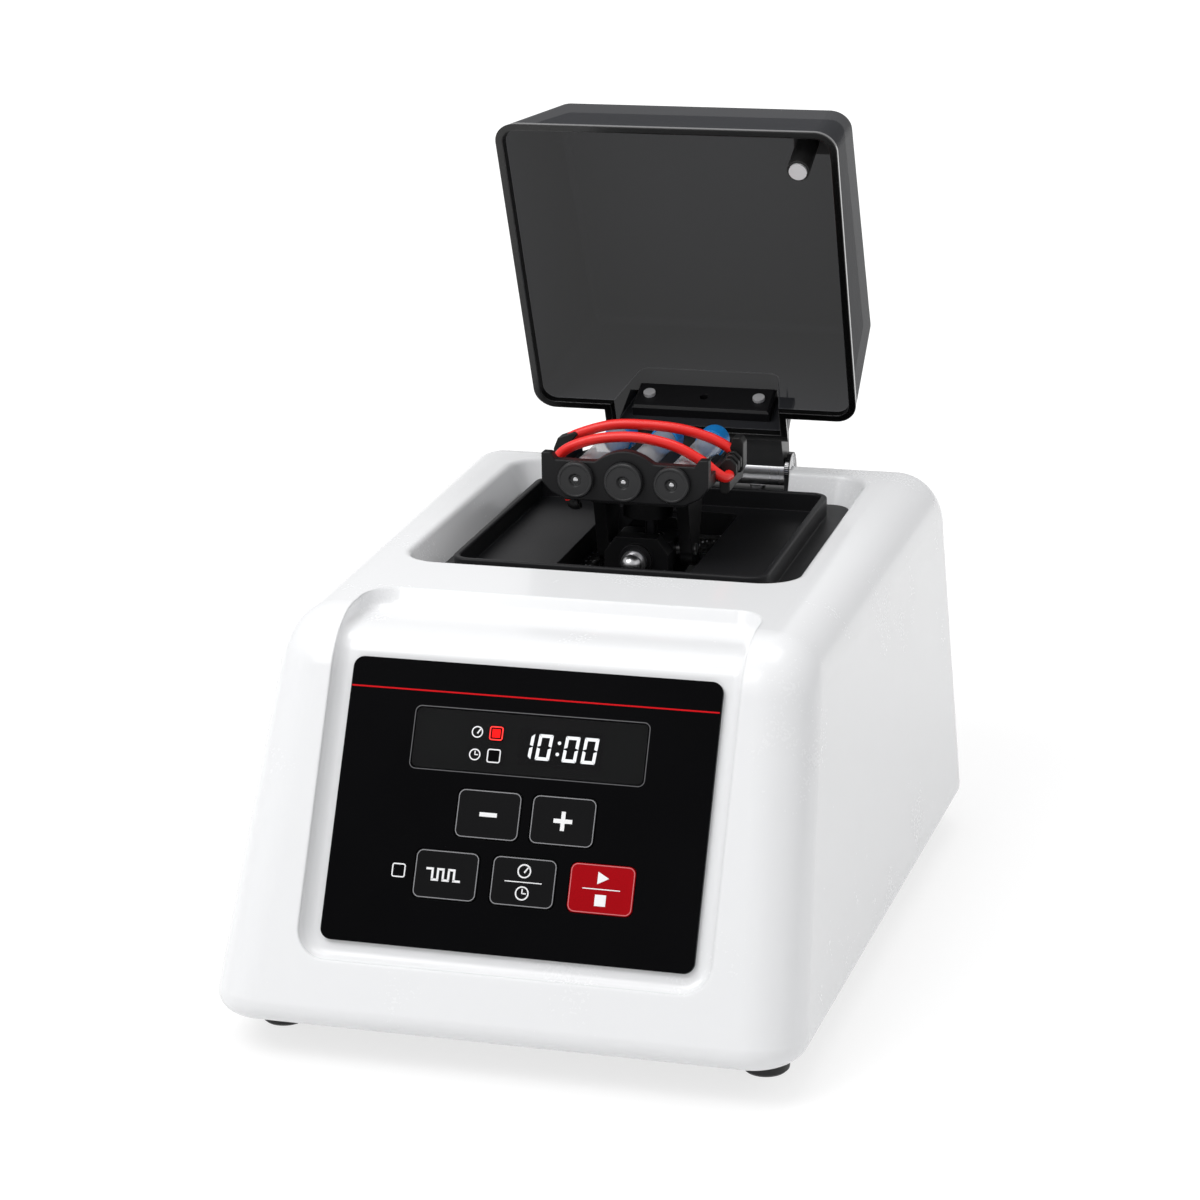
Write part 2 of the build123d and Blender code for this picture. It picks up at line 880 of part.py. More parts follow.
# Hinge: bracket and pin stay with the housing, the barrel and leaf swing with the lid
ear_half = barrel_half + ear_gap + ear_thick
bracket_top = notch_z + bracket_thick
hinge_axis = Plane(origin=(0, hinge_y, hinge_z), x_dir=(0, 1, 0), z_dir=(1, 0, 0))
with BuildPart() as hinge_bracket:
    with BuildSketch(Plane.XY.offset(notch_z)):
        with Locations((0, hinge_y)):
            Rectangle(2 * ear_half, bracket_reach)
        with Locations((-bracket_screw_x, hinge_y), (bracket_screw_x, hinge_y)):
            Circle(screw_radius + screw_play, mode=Mode.SUBTRACT)
    extrude(amount=bracket_thick)
    for start in (-ear_half, ear_half - ear_thick):
        with BuildSketch(hinge_axis.offset(start)):
            Circle(ear_radius)
            Rectangle(2 * ear_radius, hinge_z - notch_z, align=(Align.CENTER, Align.MAX))
            Circle(pin_radius + 0.01, mode=Mode.SUBTRACT)
        extrude(amount=ear_thick)
save(hinge_bracket, "hinge_bracket")

with BuildPart() as bracket_screws:
    with Locations(*[Pos(x, hinge_y, bracket_top) for x in (-bracket_screw_x, bracket_screw_x)]):
        Cylinder(bracket_screw, bracket_screw_length, align=hang)
        Cylinder(1.8 * bracket_screw, 0.6, align=stand)
save(bracket_screws, "bracket_screws")

with BuildPart() as hinge_pin:
    with BuildSketch(hinge_axis.offset(-ear_half - 0.5)):
        Circle(pin_radius)
    extrude(amount=2 * ear_half + 1)
save(hinge_pin, "hinge_pin")

with BuildPart() as hinge_barrel:
    with BuildSketch(hinge_axis.offset(-barrel_half)):
        Circle(barrel_radius)
        Circle(pin_radius + running, mode=Mode.SUBTRACT)
    extrude(amount=2 * barrel_half)
    chamfer(hinge_barrel.edges().filter_by(GeomType.CIRCLE).sort_by(SortBy.RADIUS)[-2:], 0.4)
save(hinge_barrel, "hinge_barrel")

# The leaf's profile is drawn closed, in a plane that swings with the lid
leaf_half = barrel_half - 0.4
leaf_side = Plane(
    origin=lid_open.from_local_coords(Vector(-leaf_half, 0, 0)),
    x_dir=lid_open.y_dir,
    z_dir=(1, 0, 0),
)
leaf_near = leaf_face - hinge_y
leaf_low = lid_edge_z + 0.5 - hinge_z
leaf_high = lid_edge_z + leaf_top - hinge_z
arm_top = barrel_radius - 1
with BuildPart() as hinge_leaf:
    with BuildSketch(leaf_side):
        with BuildLine():
            Polyline(
                (leaf_near, leaf_low),
                (leaf_near + leaf_thick, leaf_low),
                (-3, leaf_low + 0.5),
                (0, arm_top + 1.5),
                (-4, arm_top + 3),
                (leaf_near + leaf_thick + 3, arm_top + 5),
                (leaf_near + leaf_thick, leaf_high - 8),
                (leaf_near + leaf_thick, leaf_high),
                (leaf_near, leaf_high),
                close=True,
            )
        make_face()
        Circle(barrel_radius + 0.03, mode=Mode.SUBTRACT)
    extrude(amount=2 * leaf_half)
    with BuildSketch(clamp_back):
        with Locations(*clamp_spots):
            Circle(clamp_screw_radius + 0.02)
    extrude(amount=-lid_wall - leaf_thick - 12, mode=Mode.SUBTRACT)
save(hinge_leaf, "hinge_leaf")

with BuildPart() as clamp_plate:
    with BuildSketch(clamp_back):
        with Locations((0, clamp_middle)):
            Rectangle(2 * clamp_half, clamp_height)
        with Locations(*clamp_spots):
            Circle(clamp_screw_radius + 0.1, mode=Mode.SUBTRACT)
        with Locations((0, clamp_middle)):
            Circle(1.9, mode=Mode.SUBTRACT)
    extrude(amount=clamp_thick)
    clamp_face = clamp_plate.faces().sort_by(Axis(clamp_back.origin, clamp_back.z_dir))[-1]
    chamfer(clamp_face.outer_wire().edges(), 1)
save(clamp_plate, "clamp_plate")

with BuildPart() as clamp_screws:
    with BuildSketch(clamp_back.offset(clamp_thick)):
        with Locations(*clamp_spots):
            Circle(clamp_screw_radius)
    extrude(amount=-clamp_thick - lid_wall - leaf_thick + 0.2)
    with BuildSketch(clamp_back.offset(clamp_thick)):
        with Locations(*clamp_spots):
            Circle(2.6)
    extrude(amount=1.4)
save(clamp_screws, "clamp_screws")

# Interlock post in the lid's front corner, with the block that carries it
block_low = 16.0
block_high = 25.0
post_spot = (post_x, post_y - lid_middle_y)
with BuildPart() as interlock_post:
    with BuildSketch(lid_edge.offset(block_low)):
        with Locations(post_spot):
            Rectangle(30, 40)
    extrude(amount=block_high - block_low)
    with BuildSketch(lid_edge.offset(block_low)):
        with Locations((post_x - 6, post_y - lid_middle_y + 6)):
            Rectangle(60, 60, align=(Align.MIN, Align.MAX))
    extrude(amount=block_high - block_low, mode=Mode.INTERSECT)
    with BuildSketch(lid_edge.offset(block_low)):
        with Locations(post_spot):
            Circle(post_radius + 0.9)
    extrude(amount=0.5 - block_low)
    add(lid_inner.part, mode=Mode.INTERSECT)
    with BuildSketch(lid_edge.offset(1)):
        with Locations(post_spot):
            Circle(post_radius + 0.9)
    extrude(amount=-post_reach)
save(interlock_post, "interlock_post")

with BuildPart() as post_tip:
    with BuildSketch(lid_edge.offset(-post_reach + 1)):
        with Locations(post_spot):
            Circle(post_radius)
    extrude(amount=-1)
save(post_tip, "post_tip")

# Drive: plate on four rubber mounts, motor hung beneath it
mount_spots = [
    (x * post_spread, drive_y + y * post_spread) for x in (-1, 1) for y in (-1, 1)
]
column_top = plate_z - mount_height
motor_bolt = motor_radius / 2 ** 0.5 - motor_bolt_inset
motor_spots = [(x * motor_bolt, drive_y + y * motor_bolt) for x in (-1, 1) for y in (-1, 1)]
plate_up = plate_z + plate_thick
with BuildPart() as frame_posts:
    with BuildSketch(Plane.XY.offset(plate_top)):
        with Locations(*mount_spots):
            Circle(column_radius)
    extrude(amount=column_top - plate_top)
save(frame_posts, "frame_posts")

with BuildPart() as rubber_mounts:
    with BuildSketch(Plane.XY.offset(column_top)):
        with Locations(*mount_spots):
            Circle(mount_radius)
    extrude(amount=mount_height)
save(rubber_mounts, "rubber_mounts")

with BuildPart() as drive_plate:
    with BuildSketch(Plane.XY.offset(plate_z)):
        with Locations((0, drive_y)):
            RectangleRounded(2 * plate_half, 2 * plate_reach, 6)
            Circle(bearing_radius + 0.02, mode=Mode.SUBTRACT)
        with Locations(*motor_spots):
            Circle(screw_radius + screw_play, mode=Mode.SUBTRACT)
    extrude(amount=plate_thick)
save(drive_plate, "drive_plate")

shaft_space = shaft_radius + 0.3
with BuildPart() as drive_motor:
    with BuildSketch(Plane.XY.offset(plate_z)):
        with Locations((0, drive_y)):
            Circle(motor_radius)
    extrude(amount=-motor_height)
    fillet(drive_motor.edges().group_by(Axis.Z)[0], 3)
    with Locations(Pos(0, drive_y, plate_z)):
        Cylinder(shaft_space, spindle_reach + 2, align=hang, mode=Mode.SUBTRACT)
    with Locations(*[Pos(x, y, plate_z) for x, y in motor_spots]):
        Cylinder(motor_screw_radius + 0.05, motor_screw_length - 2, align=hang, mode=Mode.SUBTRACT)
save(drive_motor, "drive_motor")

with BuildPart() as motor_screws:
    with Locations(*[Pos(x, y, plate_up) for x, y in motor_spots]):
        Cylinder(motor_screw_radius, motor_screw_length, align=hang)
        Cylinder(motor_screw_head, motor_screw_thick, align=stand)
save(motor_screws, "motor_screws")

with BuildPart() as spindle_bearing:
    with Locations(Pos(0, drive_y, plate_z)):
        Cylinder(bearing_radius, plate_thick + 1, align=stand)
        Cylinder(
            shaft_radius + running,
            3 * plate_thick,
            mode=Mode.SUBTRACT,
        )
save(spindle_bearing, "spindle_bearing")

# Spindle: shaft, disc and offset crank pin, with the balance weight opposite the pin
with BuildPart() as drive_spindle:
    with Locations(Pos(0, drive_y, plate_z - spindle_reach)):
        Cylinder(shaft_radius, disc_z + spindle_reach - plate_z, align=stand)
    with Locations(Pos(0, drive_y, disc_z)):
        Cylinder(hub_radius, disc_thick, align=stand)
    with Locations(Pos(crank_throw, drive_y, disc_z)):
        Cylinder(crank_radius, crank_top - disc_z, align=stand)
    fillet(drive_spindle.edges().group_by(Axis.Z)[-1], 1)
save(drive_spindle, "drive_spindle")

with BuildPart() as balance_weight:
    with BuildSketch(Plane.XY.offset(disc_z)):
        with Locations((0, drive_y)):
            Circle(weight_radius)
            Circle(hub_radius + 0.02, mode=Mode.SUBTRACT)
        with Locations((-1.5, drive_y)):
            Rectangle(
                weight_radius * 2,
                weight_radius * 2,
                align=(Align.MIN, Align.CENTER),
                mode=Mode.SUBTRACT,
            )
    extrude(amount=disc_thick)
save(balance_weight, "balance_weight")

# Gimbal: a ring that rocks on front and rear trunnion bolts and carries two cross pins
with BuildPart() as gimbal_ring:
    with Locations(Pos(0, drive_y, gimbal_z)):
        Box(2 * gimbal_half, 2 * gimbal_reach, gimbal_height)
    fillet(gimbal_ring.edges().filter_by(Axis.Z), 3)
    with Locations(Pos(0, drive_y, gimbal_z)):
        Cylinder(gimbal_bore, 3 * gimbal_height, mode=Mode.SUBTRACT)
    with Locations(Location((0, drive_y, gimbal_z), (90, 0, 0))):
        Cylinder(trunnion_radius + running, 4 * gimbal_reach, mode=Mode.SUBTRACT)
    with Locations(Location((0, drive_y, gimbal_z), (0, 90, 0))):
        Cylinder(trunnion_radius + 0.01, 4 * gimbal_reach, mode=Mode.SUBTRACT)
save(gimbal_ring, "gimbal_ring")

pin_inner = gimbal_bore + 0.7
pin_outer = arm_inner + arm_thick + 0.5
with BuildPart() as cross_pins:
    for side in (-1, 1):
        with BuildSketch(Plane.YZ.offset(side * pin_inner)):
            with Locations((drive_y, gimbal_z)):
                Circle(trunnion_radius)
        extrude(amount=side * (pin_outer - pin_inner))
save(cross_pins, "cross_pins")

pedestal_inner = gimbal_reach + pedestal_gap
with BuildPart() as pedestals:
    for side in (-1, 1):
        with BuildSketch(Plane.XZ.offset(-drive_y - side * pedestal_inner)):
            with BuildLine():
                Polyline(
                    (-pedestal_foot_half, plate_up),
                    (pedestal_foot_half, plate_up),
                    (pedestal_foot_half, plate_up + pedestal_foot),
                    (pedestal_half, plate_up + 2 * pedestal_foot),
                    (pedestal_half, pedestal_shoulder),
                    (pedestal_top_half, pedestal_top),
                    (-pedestal_top_half, pedestal_top),
                    (-pedestal_half, pedestal_shoulder),
                    (-pedestal_half, plate_up + 2 * pedestal_foot),
                    (-pedestal_foot_half, plate_up + pedestal_foot),
                    close=True,
                )
            make_face()
            with Locations((0, gimbal_z)):
                Circle(trunnion_radius + 0.01, mode=Mode.SUBTRACT)
        extrude(amount=-side * pedestal_thick)
        with BuildSketch(Plane.XZ.offset(-drive_y - side * (pedestal_inner + pedestal_thick))):
            with Locations((0, gimbal_z)):
                Circle(collar_outer)
                Circle(trunnion_radius + 0.01, mode=Mode.SUBTRACT)
        extrude(amount=-side * collar_length)
save(pedestals, "pedestals")

bolt_face = pedestal_inner + pedestal_thick + collar_length
with BuildPart() as trunnion_bolts:
    for side in (-1, 1):
        with BuildSketch(Plane.XZ.offset(-drive_y - side * (gimbal_bore + 0.6))):
            with Locations((0, gimbal_z)):
                Circle(trunnion_radius)
        extrude(amount=-side * (bolt_face - gimbal_bore - 0.6))
        with BuildSketch(Plane.XZ.offset(-drive_y - side * bolt_face)):
            with Locations((0, gimbal_z)):
                Circle(bolt_head_radius)
        extrude(amount=-side * bolt_head_thick)
        ball_y = drive_y + side * (bolt_face + bolt_head_thick + bolt_ball / 2)
        with Locations(Pos(0, ball_y, gimbal_z)):
            Sphere(bolt_ball)
save(trunnion_bolts, "trunnion_bolts")

# Carriage under the tube holder: a bridge, two hanging arms and the boss for the crank pin
arm_foot = gimbal_z - arm_end
with BuildPart() as carriage:
    with BuildSketch(Plane.XY.offset(bridge_z)):
        with Locations((0, drive_y)):
            RectangleRounded(2 * (arm_inner + arm_thick), bridge_length, 3)
    extrude(amount=bridge_thick)
    with BuildSketch(Plane.YZ.offset(-arm_inner - arm_thick)):
        with BuildLine():
            Polyline(
                (drive_y - arm_spread, bridge_z),
                (drive_y - arm_end, gimbal_z),
                (drive_y - arm_end, gimbal_z - 0.1),
            )
            ThreePointArc(
                (drive_y - arm_end, gimbal_z - 0.1),
                (drive_y, arm_foot),
                (drive_y + arm_end, gimbal_z - 0.1),
            )
            Polyline(
                (drive_y + arm_end, gimbal_z - 0.1),
                (drive_y + arm_end, gimbal_z),
                (drive_y + arm_spread, bridge_z),
                (drive_y - arm_spread, bridge_z),
            )
        make_face()
        with Locations((drive_y, gimbal_z)):
            Circle(trunnion_radius + running, mode=Mode.SUBTRACT)
    extrude(amount=2 * (arm_inner + arm_thick))
    with Locations(Pos(0, drive_y, arm_foot - 1)):
        Box(
            2 * arm_inner,
            60,
            bridge_z - arm_foot + 1,
            align=stand,
            mode=Mode.SUBTRACT,
        )
    with Locations(Pos(0, drive_y, boss_bottom)):
        Cylinder(boss_radius, bridge_z - boss_bottom, align=stand)
        Cylinder(
            bush_outer + 0.02,
            bridge_z - boss_bottom,
            align=stand,
            mode=Mode.SUBTRACT,
        )
save(carriage, "carriage")

with BuildPart() as crank_bush:
    with BuildSketch(Plane.XY.offset(boss_bottom)):
        with Locations((0, drive_y)):
            Circle(bush_outer)
            Circle(bush_inner, mode=Mode.SUBTRACT)
    extrude(amount=bridge_z - boss_bottom)
save(crank_bush, "crank_bush")

# Tube holder: a front face with a hump for the middle knob, side walls and a grooved cradle
holder_z = bridge_z + bridge_thick
holder_back = holder_front + holder_length
tube_xs = (-tube_pitch, 0, tube_pitch)
cap_front = tube_front + tube_length - 1
side_top = holder_z + side_rise
with BuildPart() as tube_holder:
    with BuildSketch(Plane.XZ.offset(-holder_front)):
        with Locations((0, holder_z)):
            Rectangle(2 * holder_half, face_top - holder_z, align=(Align.CENTER, Align.MIN))
        fillet(vertices().group_by(Axis.Y)[0], holder_corner)
        with Locations((0, face_top - hump_drop)):
            Circle(hump_radius)
    extrude(amount=-face_thick)
    with BuildSketch(Plane.XZ.offset(-holder_front)):
        with Locations((0, holder_z)):
            Rectangle(2 * holder_half, side_top - holder_z, align=(Align.CENTER, Align.MIN))
        fillet(vertices().group_by(Axis.Y)[0], holder_corner)
        for x in tube_xs:
            with Locations((x, tube_z)):
                Circle(tube_radius + groove_play, mode=Mode.SUBTRACT)
            with Locations((x, tube_z)):
                Rectangle(
                    2 * (tube_radius + groove_play),
                    20,
                    align=(Align.CENTER, Align.MIN),
                    mode=Mode.SUBTRACT,
                )
    extrude(amount=-(cap_front - holder_front - 0.5))
    with BuildSketch(Plane.XZ.offset(-(cap_front - 0.5))):
        with Locations((0, holder_z)):
            Rectangle(2 * holder_half - 6, side_top - holder_z - 4, align=(Align.CENTER, Align.MIN))
        for x in tube_xs:
            with Locations((x, tube_z)):
                Circle(cap_radius + groove_play, mode=Mode.SUBTRACT)
    extrude(amount=-(holder_back - cap_front + 0.5 - 8))
    with BuildSketch(Plane.XZ.offset(-(holder_front + face_thick))):
        for x in tube_xs:
            with Locations((x, tube_z)):
                Circle(tube_radius + groove_play)
    extrude(amount=-(tube_front - holder_front - face_thick), mode=Mode.SUBTRACT)
    for x in tube_xs:
        with Locations(Location((x, holder_front, tube_z), (90, 0, 0))):
            Cylinder(knob_shank + running, 30, mode=Mode.SUBTRACT)
save(tube_holder, "tube_holder")

for number, x in enumerate(tube_xs, start=1):
    radius = middle_knob_radius if x == 0 else knob_radius
    with BuildPart() as knob:
        with BuildSketch(Plane.YZ.offset(x)):
            with BuildLine():
                Polyline(
                    (holder_front + face_thick + 1.2, tube_z),
                    (holder_front + face_thick + 1.2, tube_z + knob_flange),
                    (holder_front + face_thick + 0.2, tube_z + knob_flange),
                    (holder_front + face_thick + 0.2, tube_z + knob_shank),
                    (holder_front - 0.3, tube_z + knob_shank),
                    (holder_front - 0.3, tube_z + radius),
                    (holder_front - knob_thick + 0.8, tube_z + radius),
                    (holder_front - knob_thick, tube_z + radius - 0.8),
                    (holder_front - knob_thick, tube_z + 1.8),
                    (holder_front - knob_thick + 1.2, tube_z + 1),
                    (holder_front - knob_thick + 1.2, tube_z),
                    close=True,
                )
            make_face()
        revolve(axis=Axis((x, 0, tube_z), (0, 1, 0)))
    save(knob, f"tube_stop_{number}")

    with BuildPart() as tube:
        with BuildSketch(Plane.YZ.offset(x)):
            with BuildLine():
                back = tube_front + tube_length
                Polyline(
                    (tube_front, tube_z),
                    (tube_front, tube_z + tube_radius - 1),
                    (tube_front + 1, tube_z + tube_radius),
                    (cap_front, tube_z + tube_radius),
                    (cap_front, tube_z + tube_radius - 0.8),
                    (back + 4, tube_z + tube_radius - 0.8),
                    (back + 4, tube_z + tube_radius - 0.8 - tube_wall),
                    (tube_front + 10, tube_z + tube_radius - tube_wall),
                    (tube_front + 5, tube_z + 1.5),
                    (tube_front + 5, tube_z),
                    close=True,
                )
            make_face()
        revolve(axis=Axis((x, 0, tube_z), (0, 1, 0)))
    save(tube, f"tube_{number}")

    with BuildPart() as cap:
        with BuildSketch(Plane.XZ.offset(-cap_front)):
            with Locations((x, tube_z)):
                Circle(cap_radius)
        extrude(amount=-cap_length)
        fillet(cap.edges().group_by(Axis.Y)[-1], 1.2)
        with BuildSketch(Plane.XZ.offset(-cap_front)):
            with Locations((x, tube_z)):
                Circle(tube_radius - 0.75)
        extrude(amount=-5.1, mode=Mode.SUBTRACT)
    save(cap, f"cap_{number}")


# Silicone bands bowed over the tubes between clips on the holder's sides
def band_form(y, radius):
    """A round band bent over the tubes in the plane at y."""
    with BuildPart() as form:
        with BuildLine() as bow:
            ThreePointArc((-band_half, y, band_end_z), (0, y, band_top_z), (band_half, y, band_end_z))
        with BuildSketch(Plane(origin=bow.line @ 0, z_dir=bow.line % 0)):
            Circle(radius)
        sweep()
    return form


for label, y in (("front_band", front_band_y), ("rear_band", rear_band_y)):
    save(band_form(y, band_radius), label)

clip_low = holder_z + 1.5
clip_front = front_band_y - 6
clip_back = rear_band_y + 7
with BuildPart() as band_clips:
    for side in (-1, 1):
        with BuildSketch(Plane.YZ.offset(side * (holder_half + clip_gap))):
            with Locations(((clip_front + clip_back) / 2, clip_low)):
                Rectangle(clip_back - clip_front, clip_width / 2, align=(Align.CENTER, Align.MIN))
            with Locations((front_band_y, band_end_z + 0.5)):
                RectangleRounded(clip_width, clip_width - 1, clip_width / 4)
            with Locations((rear_band_y, band_end_z + 1)):
                RectangleRounded(clip_width, clip_width + 2, clip_width / 4)
        extrude(amount=side * clip_thick)
    for y in (front_band_y, rear_band_y):
        add(band_form(y, band_radius + clip_gap).part, mode=Mode.SUBTRACT)
save(band_clips, "band_clips")

# Rear: power inlet, switch frame and rocker, and the supply inside
with BuildPart() as power_inlet:
    with BuildSketch(rear_face):
        with Locations((inlet_x, 0)):
            RectangleRounded(
                inlet_width + 2 * flange_over, inlet_height + 2 * flange_over, flange_thick
            )
    extrude(amount=flange_thick)
    with BuildSketch(rear_face):
        with Locations((inlet_x, 0)):
            RectangleRounded(inlet_width, inlet_height, 2)
    extrude(amount=-fitting_depth)
    with BuildSketch(rear_face.offset(flange_thick)):
        with Locations((inlet_x, 0)):
            RectangleRounded(socket_width, socket_height, 3)
    extrude(amount=-socket_depth, mode=Mode.SUBTRACT)
    with BuildSketch(rear_face.offset(flange_thick - socket_depth)):
        with Locations((inlet_x - prong_apart, -2), (inlet_x + prong_apart, -2), (inlet_x, 2)):
            Rectangle(prong_thick, prong_wide)
    extrude(amount=socket_depth - 7)
save(power_inlet, "power_inlet")

with BuildPart() as switch_frame:
    with BuildSketch(rear_face):
        with Locations((switch_x, 0)):
            RectangleRounded(
                rocker_frame_width + 2 * frame_over,
                rocker_frame_height + 2 * frame_over,
                frame_over,
            )
    extrude(amount=frame_thick)
    with BuildSketch(rear_face):
        with Locations((switch_x, 0)):
            Rectangle(rocker_frame_width, rocker_frame_height)
    extrude(amount=-frame_depth)
    with BuildSketch(rear_face.offset(frame_thick)):
        with Locations((switch_x, 0)):
            Rectangle(rocker_width + 1.8, rocker_height + 0.8)
    extrude(amount=-pocket_depth, mode=Mode.SUBTRACT)
save(switch_frame, "switch_frame")

rocker_plane = Plane(
    origin=rear_face.from_local_coords(Vector(switch_x, -rocker_height / 2, 0)),
    x_dir=rear_face.x_dir,
    z_dir=rear_face.y_dir,
)
with BuildPart() as power_rocker:
    with BuildSketch(rocker_plane):
        with BuildLine():
            Polyline(
                (-rocker_width / 2, -3.4),
                (rocker_width / 2, -1.0),
                (rocker_width / 2, 2.6),
                (0, 1.4),
                (-rocker_width / 2, 1.4),
                close=True,
            )
        make_face()
    extrude(amount=rocker_height)
save(power_rocker, "power_rocker")

with BuildPart() as power_supply:
    with Locations(Pos(0, tray_y + 56, plate_top)):
        Box(supply_width + 6, supply_depth + 8, supply_foot, align=stand)
    with Locations(Pos(0, tray_y + 53, plate_top + supply_foot)):
        Box(supply_width, supply_depth, supply_height, align=stand)
save(power_supply, "power_supply")
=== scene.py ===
import json
import math

import bpy
from mathutils import Matrix, Vector


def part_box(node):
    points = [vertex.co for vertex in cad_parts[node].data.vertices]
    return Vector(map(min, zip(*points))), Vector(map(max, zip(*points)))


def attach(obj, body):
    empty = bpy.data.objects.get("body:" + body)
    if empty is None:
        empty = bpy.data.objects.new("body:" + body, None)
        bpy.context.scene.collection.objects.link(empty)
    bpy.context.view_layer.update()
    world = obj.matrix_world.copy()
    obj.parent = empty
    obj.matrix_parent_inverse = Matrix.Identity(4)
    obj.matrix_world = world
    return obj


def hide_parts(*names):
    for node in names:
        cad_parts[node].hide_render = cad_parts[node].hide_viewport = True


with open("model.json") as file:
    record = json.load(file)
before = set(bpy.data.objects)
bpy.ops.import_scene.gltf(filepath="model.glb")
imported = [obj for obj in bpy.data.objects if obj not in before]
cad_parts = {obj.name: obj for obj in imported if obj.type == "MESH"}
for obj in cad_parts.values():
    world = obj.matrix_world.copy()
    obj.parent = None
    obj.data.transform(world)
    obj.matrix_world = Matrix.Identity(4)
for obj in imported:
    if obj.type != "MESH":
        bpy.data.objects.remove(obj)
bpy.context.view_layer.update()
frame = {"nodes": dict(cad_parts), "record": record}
nodes = frame["nodes"]
joints = {joint["name"]: joint for joint in frame["record"]["behaviour"]["joints"]}
mm = 0.001
print("frame loaded")


# Small helpers for shader nodes

def addNode(tree, kind, **settings):
    node = tree.nodes.new(kind)
    for key, value in settings.items():
        setattr(node, key, value)
    return node


def newGroup(name, inputs, outputs):
    group = bpy.data.node_groups.new(name, "ShaderNodeTree")
    for label, kind, value in inputs:
        socket = group.interface.new_socket(label, in_out="INPUT", socket_type=kind)
        if value is not None:
            socket.default_value = value
    for label, kind in outputs:
        group.interface.new_socket(label, in_out="OUTPUT", socket_type=kind)
    return group, addNode(group, "NodeGroupInput"), addNode(group, "NodeGroupOutput")


def mathNode(tree, operation, first, second, clamp=False):
    node = addNode(tree, "ShaderNodeMath", operation=operation, use_clamp=clamp)
    for slot, value in enumerate((first, second)):
        if isinstance(value, (int, float)):
            node.inputs[slot].default_value = value
        else:
            tree.links.new(value, node.inputs[slot])
    return node.outputs[0]


def mixColour(tree, factor, first, second):
    node = addNode(tree, "ShaderNodeMix", data_type="RGBA")
    for socket, value in ((node.inputs[0], factor), (node.inputs[6], first), (node.inputs[7], second)):
        if hasattr(value, "node"):
            tree.links.new(value, socket)
        else:
            socket.default_value = value
    return node.outputs[2]


def noiseNode(tree, vector, scale, detail=3.0, roughness=0.5):
    node = addNode(tree, "ShaderNodeTexNoise")
    for key, value in (("Scale", scale), ("Detail", detail), ("Roughness", roughness)):
        if hasattr(value, "node"):
            tree.links.new(value, node.inputs[key])
        else:
            node.inputs[key].default_value = value
    tree.links.new(vector, node.inputs["Vector"])
    return node.outputs["Fac"]


# Handling marks: soft patches that change the gloss, and a fine moulded or cast grain

def makeHandlingGroup():
    group, source, sink = newGroup(
        "handlingMarks",
        [("Base Roughness", "NodeSocketFloat", 0.3), ("Patch Strength", "NodeSocketFloat", 0.08),
         ("Patch Scale", "NodeSocketFloat", 22.0), ("Grain Scale", "NodeSocketFloat", 1800.0),
         ("Grain Strength", "NodeSocketFloat", 0.02)],
        [("Roughness", "NodeSocketFloat"), ("Height", "NodeSocketFloat"), ("Patch", "NodeSocketFloat")])
    place = addNode(group, "ShaderNodeTexCoord").outputs["Object"]
    patch = noiseNode(group, place, source.outputs["Patch Scale"], 4.0, 0.6)
    grain = noiseNode(group, place, source.outputs["Grain Scale"], 2.0, 0.5)
    centred = mathNode(group, "SUBTRACT", patch, 0.5)
    swing = mathNode(group, "MULTIPLY", centred, source.outputs["Patch Strength"])
    swing = mathNode(group, "MULTIPLY", swing, 2.0)
    evened = mathNode(group, "SUBTRACT", grain, 0.5)
    fine = mathNode(group, "MULTIPLY", evened, source.outputs["Grain Strength"])
    rough = mathNode(group, "ADD", source.outputs["Base Roughness"], swing)
    rough = mathNode(group, "ADD", rough, fine, clamp=True)
    group.links.new(rough, sink.inputs["Roughness"])
    group.links.new(grain, sink.inputs["Height"])
    group.links.new(patch, sink.inputs["Patch"])
    return group


# Fine lines left by turning or rolling metal, stretched along one axis of the object

def makeBrushedGroup():
    group, source, sink = newGroup(
        "toolLines",
        [("Stretch", "NodeSocketVector", (1.0, 1.0, 1.0)), ("Base Roughness", "NodeSocketFloat", 0.3),
         ("Line Strength", "NodeSocketFloat", 0.15)],
        [("Roughness", "NodeSocketFloat"), ("Height", "NodeSocketFloat"), ("Tone", "NodeSocketFloat")])
    place = addNode(group, "ShaderNodeTexCoord").outputs["Object"]
    stretched = addNode(group, "ShaderNodeVectorMath", operation="MULTIPLY")
    group.links.new(place, stretched.inputs[0])
    group.links.new(source.outputs["Stretch"], stretched.inputs[1])
    lines = noiseNode(group, stretched.outputs[0], 1.0, 3.0, 0.7)
    evened = mathNode(group, "SUBTRACT", lines, 0.5)
    swing = mathNode(group, "MULTIPLY", evened, source.outputs["Line Strength"])
    wide = mathNode(group, "MULTIPLY", swing, 2.0)
    rough = mathNode(group, "ADD", source.outputs["Base Roughness"], wide, clamp=True)
    group.links.new(rough, sink.inputs["Roughness"])
    group.links.new(lines, sink.inputs["Height"])
    group.links.new(mathNode(group, "ADD", swing, 0.5), sink.inputs["Tone"])
    return group


# A painted highlight along edges, as a mask: where a rounded normal turns away from the flat one.
# The mask grows from nothing to full between these two values of the two normals' dot product.

ridgeLook = {"none": 0.985, "full": 0.82}


